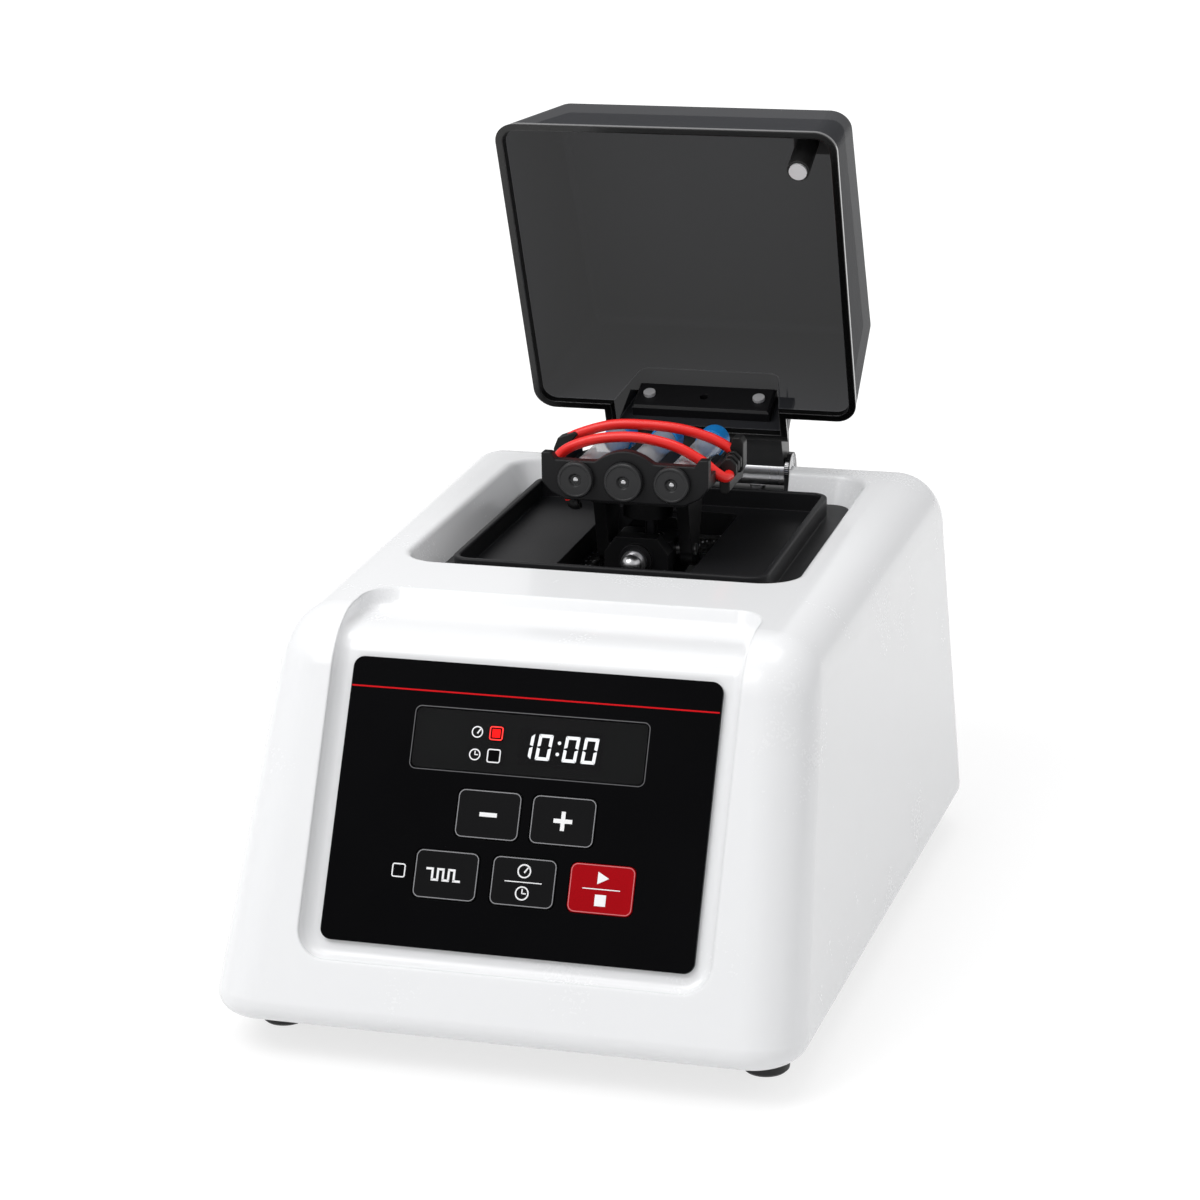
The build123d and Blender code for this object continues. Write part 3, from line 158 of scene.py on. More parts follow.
def makeEdgeGroup():
    group, source, sink = newGroup(
        "edgeHighlightMask",
        [("Amount", "NodeSocketFloat", 0.2), ("Break Up", "NodeSocketFloat", 60.0),
         ("Width", "NodeSocketFloat", 0.0005)],
        [("Mask", "NodeSocketFloat")])
    rounded = addNode(group, "ShaderNodeBevel", samples=4)
    group.links.new(source.outputs["Width"], rounded.inputs["Radius"])
    flat = addNode(group, "ShaderNodeNewGeometry").outputs["Normal"]
    turned = addNode(group, "ShaderNodeVectorMath", operation="DOT_PRODUCT")
    group.links.new(rounded.outputs["Normal"], turned.inputs[0])
    group.links.new(flat, turned.inputs[1])
    ridge = addNode(group, "ShaderNodeMapRange")
    ridge.inputs["From Min"].default_value = ridgeLook["none"]
    ridge.inputs["From Max"].default_value = ridgeLook["full"]
    group.links.new(turned.outputs["Value"], ridge.inputs["Value"])
    place = addNode(group, "ShaderNodeTexCoord").outputs["Object"]
    broken = noiseNode(group, place, source.outputs["Break Up"], 4.0, 0.7)
    mask = mathNode(group, "MULTIPLY", ridge.outputs[0], broken)
    mask = mathNode(group, "MULTIPLY", mask, source.outputs["Amount"], clamp=True)
    group.links.new(mask, sink.inputs["Mask"])
    return group


handlingMarks = makeHandlingGroup()
toolLines = makeBrushedGroup()
edgeHighlightMask = makeEdgeGroup()


def startMaterial(name):
    material = bpy.data.materials.new(name)
    material.use_nodes = True
    tree = material.node_tree
    return material, tree, tree.nodes["Principled BSDF"]


def bumpFrom(tree, shader, height, strength, distance, soften=0.0):
    bump = addNode(tree, "ShaderNodeBump")
    if soften:
        rounding = addNode(tree, "ShaderNodeBevel", samples=6)
        rounding.inputs["Radius"].default_value = soften * mm
        tree.links.new(rounding.outputs["Normal"], bump.inputs["Normal"])
    bump.inputs["Strength"].default_value = strength
    bump.inputs["Distance"].default_value = distance
    tree.links.new(height, bump.inputs["Height"])
    tree.links.new(bump.outputs["Normal"], shader.inputs["Normal"])


# One moulded, painted or rubber finish. What its entry in mouldedLooks leaves out is set here.

def mouldedFinish(name, look):
    material, tree, shader = startMaterial(name)
    marks = addNode(tree, "ShaderNodeGroup", node_tree=handlingMarks)
    marks.inputs["Base Roughness"].default_value = look["roughness"]
    marks.inputs["Patch Strength"].default_value = look.get("patch", 0.05)
    marks.inputs["Patch Scale"].default_value = look.get("patchScale", 22.0)
    marks.inputs["Grain Scale"].default_value = look.get("grainScale", 1800.0)
    marks.inputs["Grain Strength"].default_value = look.get("grainGloss", 0.04)
    # The edge mask mixes the look's lighter edge colour into the base colour: a painted highlight along the
    # edges.
    highlightMask = addNode(tree, "ShaderNodeGroup", node_tree=edgeHighlightMask)
    highlightMask.inputs["Amount"].default_value = look.get("edge", 0.3)
    highlightMask.inputs["Width"].default_value = look.get("edgeWidth", 0.45) * mm
    shade = look.get("shade", look["colour"])
    tone = mixColour(tree, marks.outputs["Patch"], (*look["colour"], 1), (*shade, 1))
    highlightColour = mixColour(tree, highlightMask.outputs["Mask"], tone, (*look.get("highlightColour", look["colour"]), 1))
    tree.links.new(highlightColour, shader.inputs["Base Color"])
    tree.links.new(marks.outputs["Roughness"], shader.inputs["Roughness"])
    bumpFrom(tree, shader, marks.outputs["Height"], look.get("bump", 0.1), look.get("depth", 0.05) * mm,
             look.get("soften", 0.25))
    shader.inputs["IOR"].default_value = 1.49
    shader.inputs["Specular IOR Level"].default_value = look.get("gloss", 0.5)
    shader.inputs["Coat Weight"].default_value = look.get("coat", 0.0)
    shader.inputs["Coat Roughness"].default_value = look.get("coatRoughness", 0.08)
    shader.inputs["Sheen Weight"].default_value = look.get("sheen", 0.0)
    return material


# One metal finish with tool lines

def metalFinish(name, look):
    material, tree, shader = startMaterial(name)
    lines = addNode(tree, "ShaderNodeGroup", node_tree=toolLines)
    lines.inputs["Stretch"].default_value = look.get("stretch", (900.0, 900.0, 900.0))
    lines.inputs["Base Roughness"].default_value = look["roughness"]
    lines.inputs["Line Strength"].default_value = look.get("lines", 0.12)
    shade = look.get("shade", look["colour"])
    tone = mixColour(tree, lines.outputs["Tone"], (*look["colour"], 1), (*shade, 1))
    tree.links.new(tone, shader.inputs["Base Color"])
    tree.links.new(lines.outputs["Roughness"], shader.inputs["Roughness"])
    bumpFrom(tree, shader, lines.outputs["Height"], look.get("bump", 0.1), 0.02 * mm)
    shader.inputs["Metallic"].default_value = 1.0
    return material


# Something that glows: the lit digits, the lit lamp and its edge. Small patches glow a little less.

glowLooks = {
    "digitWhite": dict(colour=(0.95, 0.97, 1.0), strength=3.9, base=(0.5, 0.5, 0.5)),
    "lampLit": dict(colour=(1.0, 0.004, 0.004), strength=1.3, base=(0.4, 0.004, 0.004)),
    "lampEdge": dict(colour=(1.0, 0.05, 0.04), strength=1.2, base=(0.5, 0.02, 0.02)),
}
glowShared = {"patchScale": 400.0, "less": 0.93, "roughness": 0.35, "gloss": 0.1}


def glowFinish(name, look):
    material, tree, shader = startMaterial(name)
    marks = addNode(tree, "ShaderNodeGroup", node_tree=handlingMarks)
    marks.inputs["Patch Scale"].default_value = glowShared["patchScale"]
    less = [c * glowShared["less"] for c in look["colour"]]
    glow = mixColour(tree, marks.outputs["Patch"], (*look["colour"], 1), (*less, 1))
    tree.links.new(glow, shader.inputs["Emission Color"])
    shader.inputs["Emission Strength"].default_value = look["strength"]
    shader.inputs["Base Color"].default_value = (*look["base"], 1)
    shader.inputs["Roughness"].default_value = glowShared["roughness"]
    shader.inputs["Specular IOR Level"].default_value = glowShared["gloss"]
    return material


# A look's lighter edge colour is a painted highlight, laid along its edges by the edge mask.
mouldedLooks = {
    "shellWhite": dict(colour=(0.815, 0.82, 0.828), shade=(0.805, 0.811, 0.82), edge=0.0,
                       roughness=0.26, patch=0.04, coat=0.25, coatRoughness=0.07, bump=0.0,
                       grainScale=900.0, soften=1.6),
    "basePlateGrey": dict(colour=(0.16, 0.165, 0.17), roughness=0.5, grainScale=2500.0, bump=0.25, depth=0.1),
    "footRubber": dict(colour=(0.012, 0.012, 0.013), shade=(0.02, 0.02, 0.02), highlightColour=(0.05, 0.05, 0.05),
                       roughness=0.62, bump=0.35, depth=0.12, sheen=0.15),
    "panelBlack": dict(colour=(0.0015, 0.0015, 0.0018), shade=(0.0035, 0.0035, 0.004), roughness=0.2,
                       patch=0.05, patchScale=12.0, gloss=0.03, bump=0.03, grainScale=3000.0),
    "keyBlack": dict(colour=(0.003, 0.003, 0.0035), shade=(0.005, 0.005, 0.0055), roughness=0.3, gloss=0.1,
                     bump=0.04, grainScale=3000.0),
    "keyRed": dict(colour=(0.38, 0.003, 0.007), shade=(0.30, 0.002, 0.005), roughness=0.34, gloss=0.04,
                   bump=0.04, grainScale=3000.0),
    "boardGreen": dict(colour=(0.01, 0.09, 0.04), roughness=0.4),
    "trayBlack": dict(colour=(0.008, 0.008, 0.009), shade=(0.013, 0.013, 0.014), highlightColour=(0.09, 0.09, 0.095),
                      roughness=0.42, patch=0.06, gloss=0.17, bump=0.25, depth=0.08, grainScale=2600.0,
                      edge=0.35, soften=0.6),
    "holderBlack": dict(colour=(0.007, 0.007, 0.0075), shade=(0.011, 0.011, 0.012), highlightColour=(0.10, 0.10, 0.10),
                        roughness=0.42, patch=0.05, gloss=0.2, bump=0.22, depth=0.06, grainScale=3200.0,
                        edge=0.4, soften=0.5),
    "clipBlack": dict(colour=(0.008, 0.008, 0.008), highlightColour=(0.10, 0.10, 0.10), roughness=0.45, gloss=0.3,
                      bump=0.2, edge=0.4),
    "bladeBlack": dict(colour=(0.010, 0.010, 0.011), highlightColour=(0.07, 0.07, 0.07), roughness=0.34, gloss=0.3,
                       bump=0.12, edge=0.4),
    "knobBlack": dict(colour=(0.014, 0.014, 0.015), shade=(0.02, 0.02, 0.021), highlightColour=(0.12, 0.12, 0.12),
                      roughness=0.4, gloss=0.4, bump=0.15, edge=0.4),
    "tubeFill": dict(colour=(0.50, 0.10, 0.10), shade=(0.40, 0.06, 0.06), roughness=0.5, patchScale=300.0),
    "bandRed": dict(colour=(0.86, 0.016, 0.012), shade=(0.80, 0.013, 0.011), highlightColour=(0.88, 0.05, 0.04),
                    roughness=0.36, patch=0.06, gloss=0.5, bump=0.08, grainScale=2500.0),
    "capBlue": dict(colour=(0.008, 0.23, 0.62), shade=(0.006, 0.19, 0.55), highlightColour=(0.05, 0.28, 0.7),
                    roughness=0.36, gloss=0.35, bump=0.1),
    "sealBlack": dict(colour=(0.0025, 0.0025, 0.0025), highlightColour=(0.16, 0.16, 0.165), roughness=0.14, gloss=0.5,
                      bump=0.03, edge=0.8, edgeWidth=0.35, soften=0.7),
    # The clamp screws wear a pale non-metal colour: painted brightness in place of the steel heads'
    # reflection.
    "screwPaintedShine": dict(colour=(0.58, 0.58, 0.59), shade=(0.50, 0.50, 0.51), roughness=0.3, gloss=0.9,
                      bump=0.02),
    "inletBlack": dict(colour=(0.012, 0.012, 0.012), roughness=0.42, bump=0.2),
    "printGrey": dict(colour=(0.26, 0.26, 0.27), roughness=0.4, gloss=0.1, bump=0.05),
    "printWhite": dict(colour=(0.86, 0.86, 0.87), roughness=0.4, gloss=0.1, bump=0.05),
    "printRed": dict(colour=(0.62, 0.006, 0.010), roughness=0.4, gloss=0.06, edge=0.0, bump=0.05),
    "printPink": dict(colour=(0.62, 0.16, 0.17), roughness=0.4, gloss=0.1, bump=0.05),
    "panelGrey": dict(colour=(0.10, 0.10, 0.105), roughness=0.3),
}
metalLooks = {
    "screwSteel": dict(colour=(0.72, 0.72, 0.73), shade=(0.64, 0.64, 0.65), roughness=0.3, lines=0.03,
                       bump=0.02, stretch=(300.0, 300.0, 300.0)),
    "barrelSteel": dict(colour=(0.66, 0.66, 0.67), shade=(0.58, 0.58, 0.59), roughness=0.28, lines=0.03,
                        bump=0.01, stretch=(700.0, 12.0, 12.0)),
    "headSteel": dict(colour=(0.86, 0.86, 0.87), shade=(0.80, 0.80, 0.81), roughness=0.5, lines=0.03,
                      bump=0.02, stretch=(300.0, 300.0, 300.0)),
    "plateAlloy": dict(colour=(0.62, 0.625, 0.63), shade=(0.52, 0.525, 0.53), roughness=0.38,
                       stretch=(40.0, 900.0, 900.0)),
    "motorBlack": dict(colour=(0.05, 0.05, 0.055), shade=(0.04, 0.04, 0.045), roughness=0.45),
    "bronzeBush": dict(colour=(0.55, 0.38, 0.16), shade=(0.45, 0.30, 0.12), roughness=0.35),
}
finish = {name: mouldedFinish(name, look) for name, look in mouldedLooks.items()}
finish.update({name: metalFinish(name, look) for name, look in metalLooks.items()})
finish.update({name: glowFinish(name, look) for name, look in glowLooks.items()})


# The smoked lid: a dark see-through moulding with a painted highlight along its edges. Only the face that
# looks at the viewer is shaded, so a wall is seen through once.

smokedLook = {"tint": (0.034, 0.035, 0.039), "deep": (0.024, 0.025, 0.028), "edgeHighlightTone": (0.15, 0.152, 0.16),
              "alpha": 0.968, "roughness": 0.22, "haze": 0.05, "hazeScale": 9.0, "ior": 1.015,
              "edgeWidth": 1.0, "edge": 1.6, "edgeBreak": 12.0}


def makeSmoked():
    material, tree, shader = startMaterial("lidSmoke")
    marks = addNode(tree, "ShaderNodeGroup", node_tree=handlingMarks)
    marks.inputs["Base Roughness"].default_value = smokedLook["roughness"]
    marks.inputs["Patch Strength"].default_value = smokedLook["haze"]
    marks.inputs["Patch Scale"].default_value = smokedLook["hazeScale"]
    highlightMask = addNode(tree, "ShaderNodeGroup", node_tree=edgeHighlightMask)
    highlightMask.inputs["Amount"].default_value = smokedLook["edge"]
    highlightMask.inputs["Width"].default_value = smokedLook["edgeWidth"] * mm
    highlightMask.inputs["Break Up"].default_value = smokedLook["edgeBreak"]
    tint = mixColour(tree, marks.outputs["Patch"], (*smokedLook["tint"], 1), (*smokedLook["deep"], 1))
    # The paler tone along the edges is a painted highlight.
    tint = mixColour(tree, highlightMask.outputs["Mask"], tint, (*smokedLook["edgeHighlightTone"], 1))
    tree.links.new(tint, shader.inputs["Base Color"])
    tree.links.new(marks.outputs["Roughness"], shader.inputs["Roughness"])
    shader.inputs["Alpha"].default_value = smokedLook["alpha"]
    shader.inputs["IOR"].default_value = smokedLook["ior"]
    clear = addNode(tree, "ShaderNodeBsdfTransparent")
    pick = addNode(tree, "ShaderNodeMixShader")
    tree.links.new(addNode(tree, "ShaderNodeNewGeometry").outputs["Backfacing"], pick.inputs[0])
    tree.links.new(shader.outputs[0], pick.inputs[1])
    tree.links.new(clear.outputs[0], pick.inputs[2])
    tree.links.new(pick.outputs[0], tree.nodes["Material Output"].inputs["Surface"])
    return material


# The display window: nearly black and see-through

windowLook = {"dark": (0.0045, 0.0045, 0.005), "pale": (0.0065, 0.0065, 0.007), "roughness": 0.12,
              "patchScale": 30.0, "alpha": 0.72, "gloss": 0.2}


def makeWindow():
    material, tree, shader = startMaterial("windowSmoke")
    marks = addNode(tree, "ShaderNodeGroup", node_tree=handlingMarks)
    marks.inputs["Base Roughness"].default_value = windowLook["roughness"]
    marks.inputs["Patch Scale"].default_value = windowLook["patchScale"]
    tint = mixColour(tree, marks.outputs["Patch"], (*windowLook["dark"], 1), (*windowLook["pale"], 1))
    tree.links.new(tint, shader.inputs["Base Color"])
    tree.links.new(marks.outputs["Roughness"], shader.inputs["Roughness"])
    shader.inputs["Alpha"].default_value = windowLook["alpha"]
    shader.inputs["Specular IOR Level"].default_value = windowLook["gloss"]
    return material


# Frosted plastic of the tubes

frostLook = {"pale": (0.60, 0.61, 0.62), "dark": (0.48, 0.49, 0.51), "roughness": 0.34, "patch": 0.1,
             "patchScale": 120.0, "bump": 0.1, "depth": 0.03, "alpha": 0.55, "coat": 0.3}


def makeTubePlastic():
    material, tree, shader = startMaterial("tubeFrost")
    marks = addNode(tree, "ShaderNodeGroup", node_tree=handlingMarks)
    marks.inputs["Base Roughness"].default_value = frostLook["roughness"]
    marks.inputs["Patch Strength"].default_value = frostLook["patch"]
    marks.inputs["Patch Scale"].default_value = frostLook["patchScale"]
    tint = mixColour(tree, marks.outputs["Patch"], (*frostLook["pale"], 1), (*frostLook["dark"], 1))
    tree.links.new(tint, shader.inputs["Base Color"])
    tree.links.new(marks.outputs["Roughness"], shader.inputs["Roughness"])
    bumpFrom(tree, shader, marks.outputs["Height"], frostLook["bump"], frostLook["depth"] * mm)
    shader.inputs["Alpha"].default_value = frostLook["alpha"]
    shader.inputs["Coat Weight"].default_value = frostLook["coat"]
    return material


# Open-cell foam under the tray

foamLook = {"cell": 620.0, "dark": (0.003, 0.003, 0.003, 1), "pale": (0.42, 0.42, 0.43, 1), "rarity": 0.80,
            "spot": 0.34, "roughness": 0.7, "bump": 0.9, "depth": 1.2}


def makeFoam():
    material, tree, shader = startMaterial("foamCells")
    place = addNode(tree, "ShaderNodeTexCoord").outputs["Object"]
    cells = addNode(tree, "ShaderNodeTexVoronoi", feature="F1")
    cells.inputs["Scale"].default_value = foamLook["cell"]
    tree.links.new(place, cells.inputs["Vector"])
    draw = addNode(tree, "ShaderNodeSeparateColor")
    tree.links.new(cells.outputs["Color"], draw.inputs[0])
    chosen = mathNode(tree, "GREATER_THAN", draw.outputs[0], foamLook["rarity"])
    small = mathNode(tree, "LESS_THAN", cells.outputs["Distance"], foamLook["spot"])
    tint = mixColour(tree, mathNode(tree, "MULTIPLY", chosen, small), foamLook["dark"], foamLook["pale"])
    tree.links.new(tint, shader.inputs["Base Color"])
    shader.inputs["Roughness"].default_value = foamLook["roughness"]
    bumpFrom(tree, shader, cells.outputs["Distance"], foamLook["bump"], foamLook["depth"] * mm)
    return material


finish["lidSmoke"] = makeSmoked()
finish["windowSmoke"] = makeWindow()
finish["tubeFrost"] = makeTubePlastic()
finish["foamCells"] = makeFoam()
print("materials made")


# Which finish each CAD node wears

nodeFinish = {
    "housing_shell": "shellWhite", "base_plate": "basePlateGrey", "rubber_feet": "footRubber",
    "foot_screws": "screwSteel", "control_panel": "panelBlack", "display_lens": "windowSmoke",
    "indicator_lamps": "panelBlack", "digit_display": "panelBlack", "key_board": "boardGreen",
    "board_screws": "screwSteel", "minus_key": "keyBlack", "plus_key": "keyBlack", "pulse_key": "keyBlack",
    "speed_time_key": "keyBlack", "start_stop_key": "keyRed", "chamber_tray": "trayBlack",
    "sound_foam": "foamCells", "lid_switch": "clipBlack", "hinge_bracket": "bladeBlack",
    "bracket_screws": "screwSteel", "hinge_pin": "screwSteel", "hinge_barrel": "barrelSteel",
    "hinge_leaf": "bladeBlack", "clamp_plate": "bladeBlack", "clamp_screws": "screwPaintedShine",
    "lid": "lidSmoke", "lid_edge_seal": "sealBlack", "interlock_post": "clipBlack", "post_tip": "headSteel",
    "frame_posts": "plateAlloy", "rubber_mounts": "footRubber", "drive_plate": "plateAlloy",
    "drive_motor": "motorBlack", "motor_screws": "screwSteel", "spindle_bearing": "screwSteel",
    "drive_spindle": "motorBlack", "balance_weight": "bronzeBush", "gimbal_ring": "holderBlack",
    "cross_pins": "screwSteel", "pedestals": "holderBlack", "trunnion_bolts": "screwSteel",
    "carriage": "holderBlack", "crank_bush": "clipBlack", "tube_holder": "holderBlack",
    "tube_stop_1": "holderBlack", "tube_stop_2": "holderBlack", "tube_stop_3": "holderBlack",
    "tube_1": "tubeFrost", "tube_2": "tubeFrost", "tube_3": "tubeFrost", "cap_1": "capBlue",
    "cap_2": "capBlue", "cap_3": "capBlue", "front_band": "bandRed", "rear_band": "bandRed",
    "band_clips": "clipBlack", "power_inlet": "inletBlack", "switch_frame": "inletBlack",
    "power_rocker": "inletBlack", "power_supply": "plateAlloy",
}
for label, look in nodeFinish.items():
    node = nodes[label]
    node.data.materials.clear()
    node.data.materials.append(finish[look])
print("CAD nodes finished")


# Ways to make a piece. Lengths are in millimetres, and angles in degrees

edgeLook = {"segments": 3, "bevelled": 24, "sharp": 40}


def makePiece(name, vertices, faces, look, body):
    data = bpy.data.meshes.new(name)
    data.from_pydata([tuple(v) for v in vertices], [], faces)
    data.update()
    piece = bpy.data.objects.new(name, data)
    bpy.context.scene.collection.objects.link(piece)
    data.materials.append(finish[look])
    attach(piece, body)
    return piece


def roundedOutline(width, height, radius, steps=6):
    points = []
    for cornerX, cornerY, start in ((1, 1, 0), (-1, 1, 90), (-1, -1, 180), (1, -1, 270)):
        for step in range(steps + 1):
            angle = math.radians(start + 90 * step / steps)
            points.append(((width / 2 - radius) * cornerX + radius * math.cos(angle),
                           (height / 2 - radius) * cornerY + radius * math.sin(angle)))
    return points


def finishPiece(piece, bevel=0.0):
    if bevel:
        rounding = piece.modifiers.new("edges", "BEVEL")
        rounding.width = bevel * mm
        rounding.segments = edgeLook["segments"]
        rounding.limit_method = "ANGLE"
        rounding.angle_limit = math.radians(edgeLook["bevelled"])
    piece.data.shade_smooth()
    even = piece.modifiers.new("normals", "WEIGHTED_NORMAL")
    even.keep_sharp = True
    return piece


# A flat outline in x and z, pushed along y from start to end

def pushedPiece(name, outline, start, end, look, body, bevel=0.4):
    count = len(outline)
    vertices = [Vector((x, start, z)) * mm for x, z in outline]
    vertices += [Vector((x, end, z)) * mm for x, z in outline]
    faces = [tuple(range(count)), tuple(range(2 * count - 1, count - 1, -1))]
    faces += [(k, count + k, count + (k + 1) % count, (k + 1) % count) for k in range(count)]
    return finishPiece(makePiece(name, vertices, faces, look, body), bevel)


# A profile of (y, radius) turned about a line along y, or along x for a sideways piece.
# The profile's two ends lie on the line, and its y grows from first to last.

def turnedPiece(name, profile, x, z, look, body, steps=40, sideways=False):
    vertices = [Vector((x, profile[0][0], z)) * mm, Vector((x, profile[-1][0], z)) * mm]
    rows = profile[1:-1]
    for y, radius in rows:
        for step in range(steps):
            angle = 2 * math.pi * step / steps
            vertices.append(Vector((x + radius * math.cos(angle), y, z + radius * math.sin(angle))) * mm)
    if sideways:
        vertices = [Vector((v.y, v.x, v.z)) for v in vertices]
    faces = []
    for step in range(steps):
        after = (step + 1) % steps
        faces.append((0, 2 + step, 2 + after))
        last = 2 + (len(rows) - 1) * steps
        faces.append((1, last + after, last + step))
        for row in range(len(rows) - 1):
            first = 2 + row * steps
            faces.append((first + step, first + steps + step, first + steps + after, first + after))
    if sideways:
        faces = [tuple(reversed(face)) for face in faces]
    piece = finishPiece(makePiece(name, vertices, faces, look, body))
    piece.data.set_sharp_from_angle(angle=math.radians(edgeLook["sharp"]))
    return piece


# A smooth curve through a few points, which passes through each of them

def smoothLine(points, steps):
    spots = [Vector(p) for p in points]
    spots = [2 * spots[0] - spots[1]] + spots + [2 * spots[-1] - spots[-2]]
    line = []
    for k in range(1, len(spots) - 2):
        before, first, second, after = spots[k - 1:k + 3]
        for step in range(steps):
            t = step / steps
            line.append(0.5 * (2 * first + (second - before) * t
                               + (2 * before - 5 * first + 4 * second - after) * t * t
                               + (3 * first - before - 3 * second + after) * t ** 3))
    line.append(spots[-2])
    return line


# A round strand along such a curve

def strandPiece(name, points, radius, look, body, steps=9, around=16):
    line = smoothLine(points, steps)
    vertices = []
    side = Vector((0, 1, 0))
    for k, spot in enumerate(line):
        ahead = (line[min(k + 1, len(line) - 1)] - line[max(k - 1, 0)]).normalized()
        side = (side - ahead * side.dot(ahead)).normalized()
        other = ahead.cross(side)
        for step in range(around):
            angle = 2 * math.pi * step / around
            vertices.append((spot + radius * (side * math.cos(angle) + other * math.sin(angle))) * mm)
    faces = [tuple(range(around)), tuple(range(len(vertices) - 1, len(vertices) - around - 1, -1))]
    for k in range(len(line) - 1):
        for step in range(around):
            near, far = k * around, (k + 1) * around
            after = (step + 1) % around
            faces.append((near + step, near + after, far + after, far + step))
    return finishPiece(makePiece(name, vertices, faces, look, body))


def boxInMillimetres(label):
    low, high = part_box(label)
    return [c / mm for c in low], [c / mm for c in high]


# The left half of an outline, from its right half

def mirrored(right):
    return [(-x, z) for x, z in reversed(right)]


def blockOutline(x, z, width, height, chamfer):
    w, h = width / 2, height / 2
    return [(x - w + chamfer, z - h), (x + w - chamfer, z - h),
            (x + w, z - h + chamfer), (x + w, z + h - chamfer),
            (x + w - chamfer, z + h), (x - w + chamfer, z + h),
            (x - w, z + h - chamfer), (x - w, z - h + chamfer)]


# What the holder's plate, its cradle, the tubes and the clips share. Heights are above the floor

holderLook = {"half": 33.5, "thick": 5.0, "tubeHeight": 168.2, "pitch": 19.2}


def holderPart(name, outline, start, end, bevel):
    piece = pushedPiece(name, outline, start, end, "holderBlack", "holder", bevel)
    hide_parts("tube_holder")


def clipPart(name, outline, start, end, bevel=0.4):
    piece = pushedPiece(name, outline, start, end, "clipBlack", "holder", bevel)
    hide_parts("band_clips")


# Front plate with horns and a hump. A corner's points are in from the side and up from the bottom

plateLook = {"lowHalf": 24.0, "corner": [(3.6, 3.0), (0.7, 6.2)], "shoulder": 167.2, "rim": 175.4,
             "horn": 178.2, "hornWidth": 4.4, "hornTaper": (0.6, -1.2), "hump": 180.1, "humpHalf": 11.6,
             "humpFoot": 1.2, "humpStep": 10, "bevel": 0.7}


def buildFrontPlate():
    low, high = boxInMillimetres("tube_holder")
    front, bottom = low[1], low[2]
    half, horn, rim = holderLook["half"], plateLook["horn"], plateLook["rim"]
    inner = half - plateLook["hornWidth"]
    hornTop, hornFoot = plateLook["hornTaper"]
    right = [(plateLook["lowHalf"], bottom)] + [(half - x, bottom + z) for x, z in plateLook["corner"]]
    right += [(half, plateLook["shoulder"]), (half, horn), (inner + hornTop, horn), (inner + hornFoot, rim),
              (plateLook["humpHalf"] + plateLook["humpFoot"], rim)]
    reach, rise = plateLook["humpHalf"], plateLook["hump"] - rim
    hump = []
    for degrees in range(plateLook["humpStep"], 180, plateLook["humpStep"]):
        angle = math.radians(degrees)
        hump.append((reach * math.cos(angle), rim + rise * (1 - math.cos(2 * angle)) / 2))
    holderPart("holder_plate", right + hump + mirrored(right), front, front + holderLook["thick"],
               plateLook["bevel"])


# Cradle behind the plate, with a groove under each tube, and the low tail behind it

cradleLook = {"setIn": 0.4, "lift": 0.6, "chamfer": 6.0, "ledge": 6.8, "wall": 2.6, "wallRise": 4.6,
              "groove": 5.7, "grooveStep": 20, "overlap": 0.1, "end": 51.0, "tailChamfer": (4.0, 2.0, 2.8),
              "bevel": 0.3}


def buildCradle():
    low, high = boxInMillimetres("tube_holder")
    front, bottom = low[1], low[2]
    outer = holderLook["half"] - cradleLook["setIn"]
    lower, ledge = bottom + cradleLook["lift"], bottom + cradleLook["ledge"]
    chamfer, wall, top = cradleLook["chamfer"], cradleLook["wall"], ledge + cradleLook["wallRise"]
    right = [(outer - chamfer, lower), (outer, lower + chamfer), (outer, top), (outer - wall, top),
             (outer - wall, ledge)]
    grooves = []
    for middle in (holderLook["pitch"], 0.0, -holderLook["pitch"]):
        for degrees in range(0, 181, cradleLook["grooveStep"]):
            angle = math.radians(-degrees)
            grooves.append((middle + cradleLook["groove"] * math.cos(angle),
                            holderLook["tubeHeight"] + cradleLook["groove"] * math.sin(angle)))
    overlap = cradleLook["overlap"]
    end = front + cradleLook["end"]
    holderPart("holder_cradle", right + grooves + mirrored(right), front + holderLook["thick"] - overlap, end,
               cradleLook["bevel"])
    foot, step, rise = cradleLook["tailChamfer"]
    right = [(outer - foot, lower), (outer - step, lower + step), (outer - step, lower + rise)]
    holderPart("holder_tail", right + mirrored(right), end - overlap, high[1], cradleLook["bevel"])


# A polished disc over each ear of the hinge bracket: (in from the ear's side, radius)

discLook = {"profile": [(0.3, 0.0), (0.3, 2.6), (0.5, 3.0), (0.5, 7.9), (0.9, 8.5), (2.5, 8.5), (2.5, 0.0)],
            "steps": 64}


def buildHingeDiscs():
    low, high = boxInMillimetres("hinge_pin")
    y, z = (low[1] + high[1]) / 2, (low[2] + high[2]) / 2
    for side, edge in ((-1, low[0]), (1, high[0])):
        profile = [(edge - inset * side, radius) for inset, radius in discLook["profile"]]
        if side > 0:
            profile.reverse()
        turnedPiece(f"hinge_disc_{side + 2}", profile, y, z, "barrelSteel", "housing",
                    discLook["steps"], True)


# A tube stop's knob and the pin in it. Pairs are (behind the front, radius), and in the rim
# (behind the front, in from the edge).

knobLook = {"dimple": [(1.5, 0.0), (1.5, 2.0), (0.5, 2.5), (0.3, 2.8)],
            "rim": [(0.3, 1.3), (0.0, 1.1), (0.1, 0.5), (0.7, 0.0), (2.6, 0.0)],
            "stem": 3.0, "stemStart": 2.7, "collar": 4.4, "collarLength": 1.2, "steps": 56,
            "pin": [(1.0, 0.0), (1.0, 0.5), (1.3, 1.0), (1.9, 1.1), (1.9, 0.0)], "pinSteps": 24}


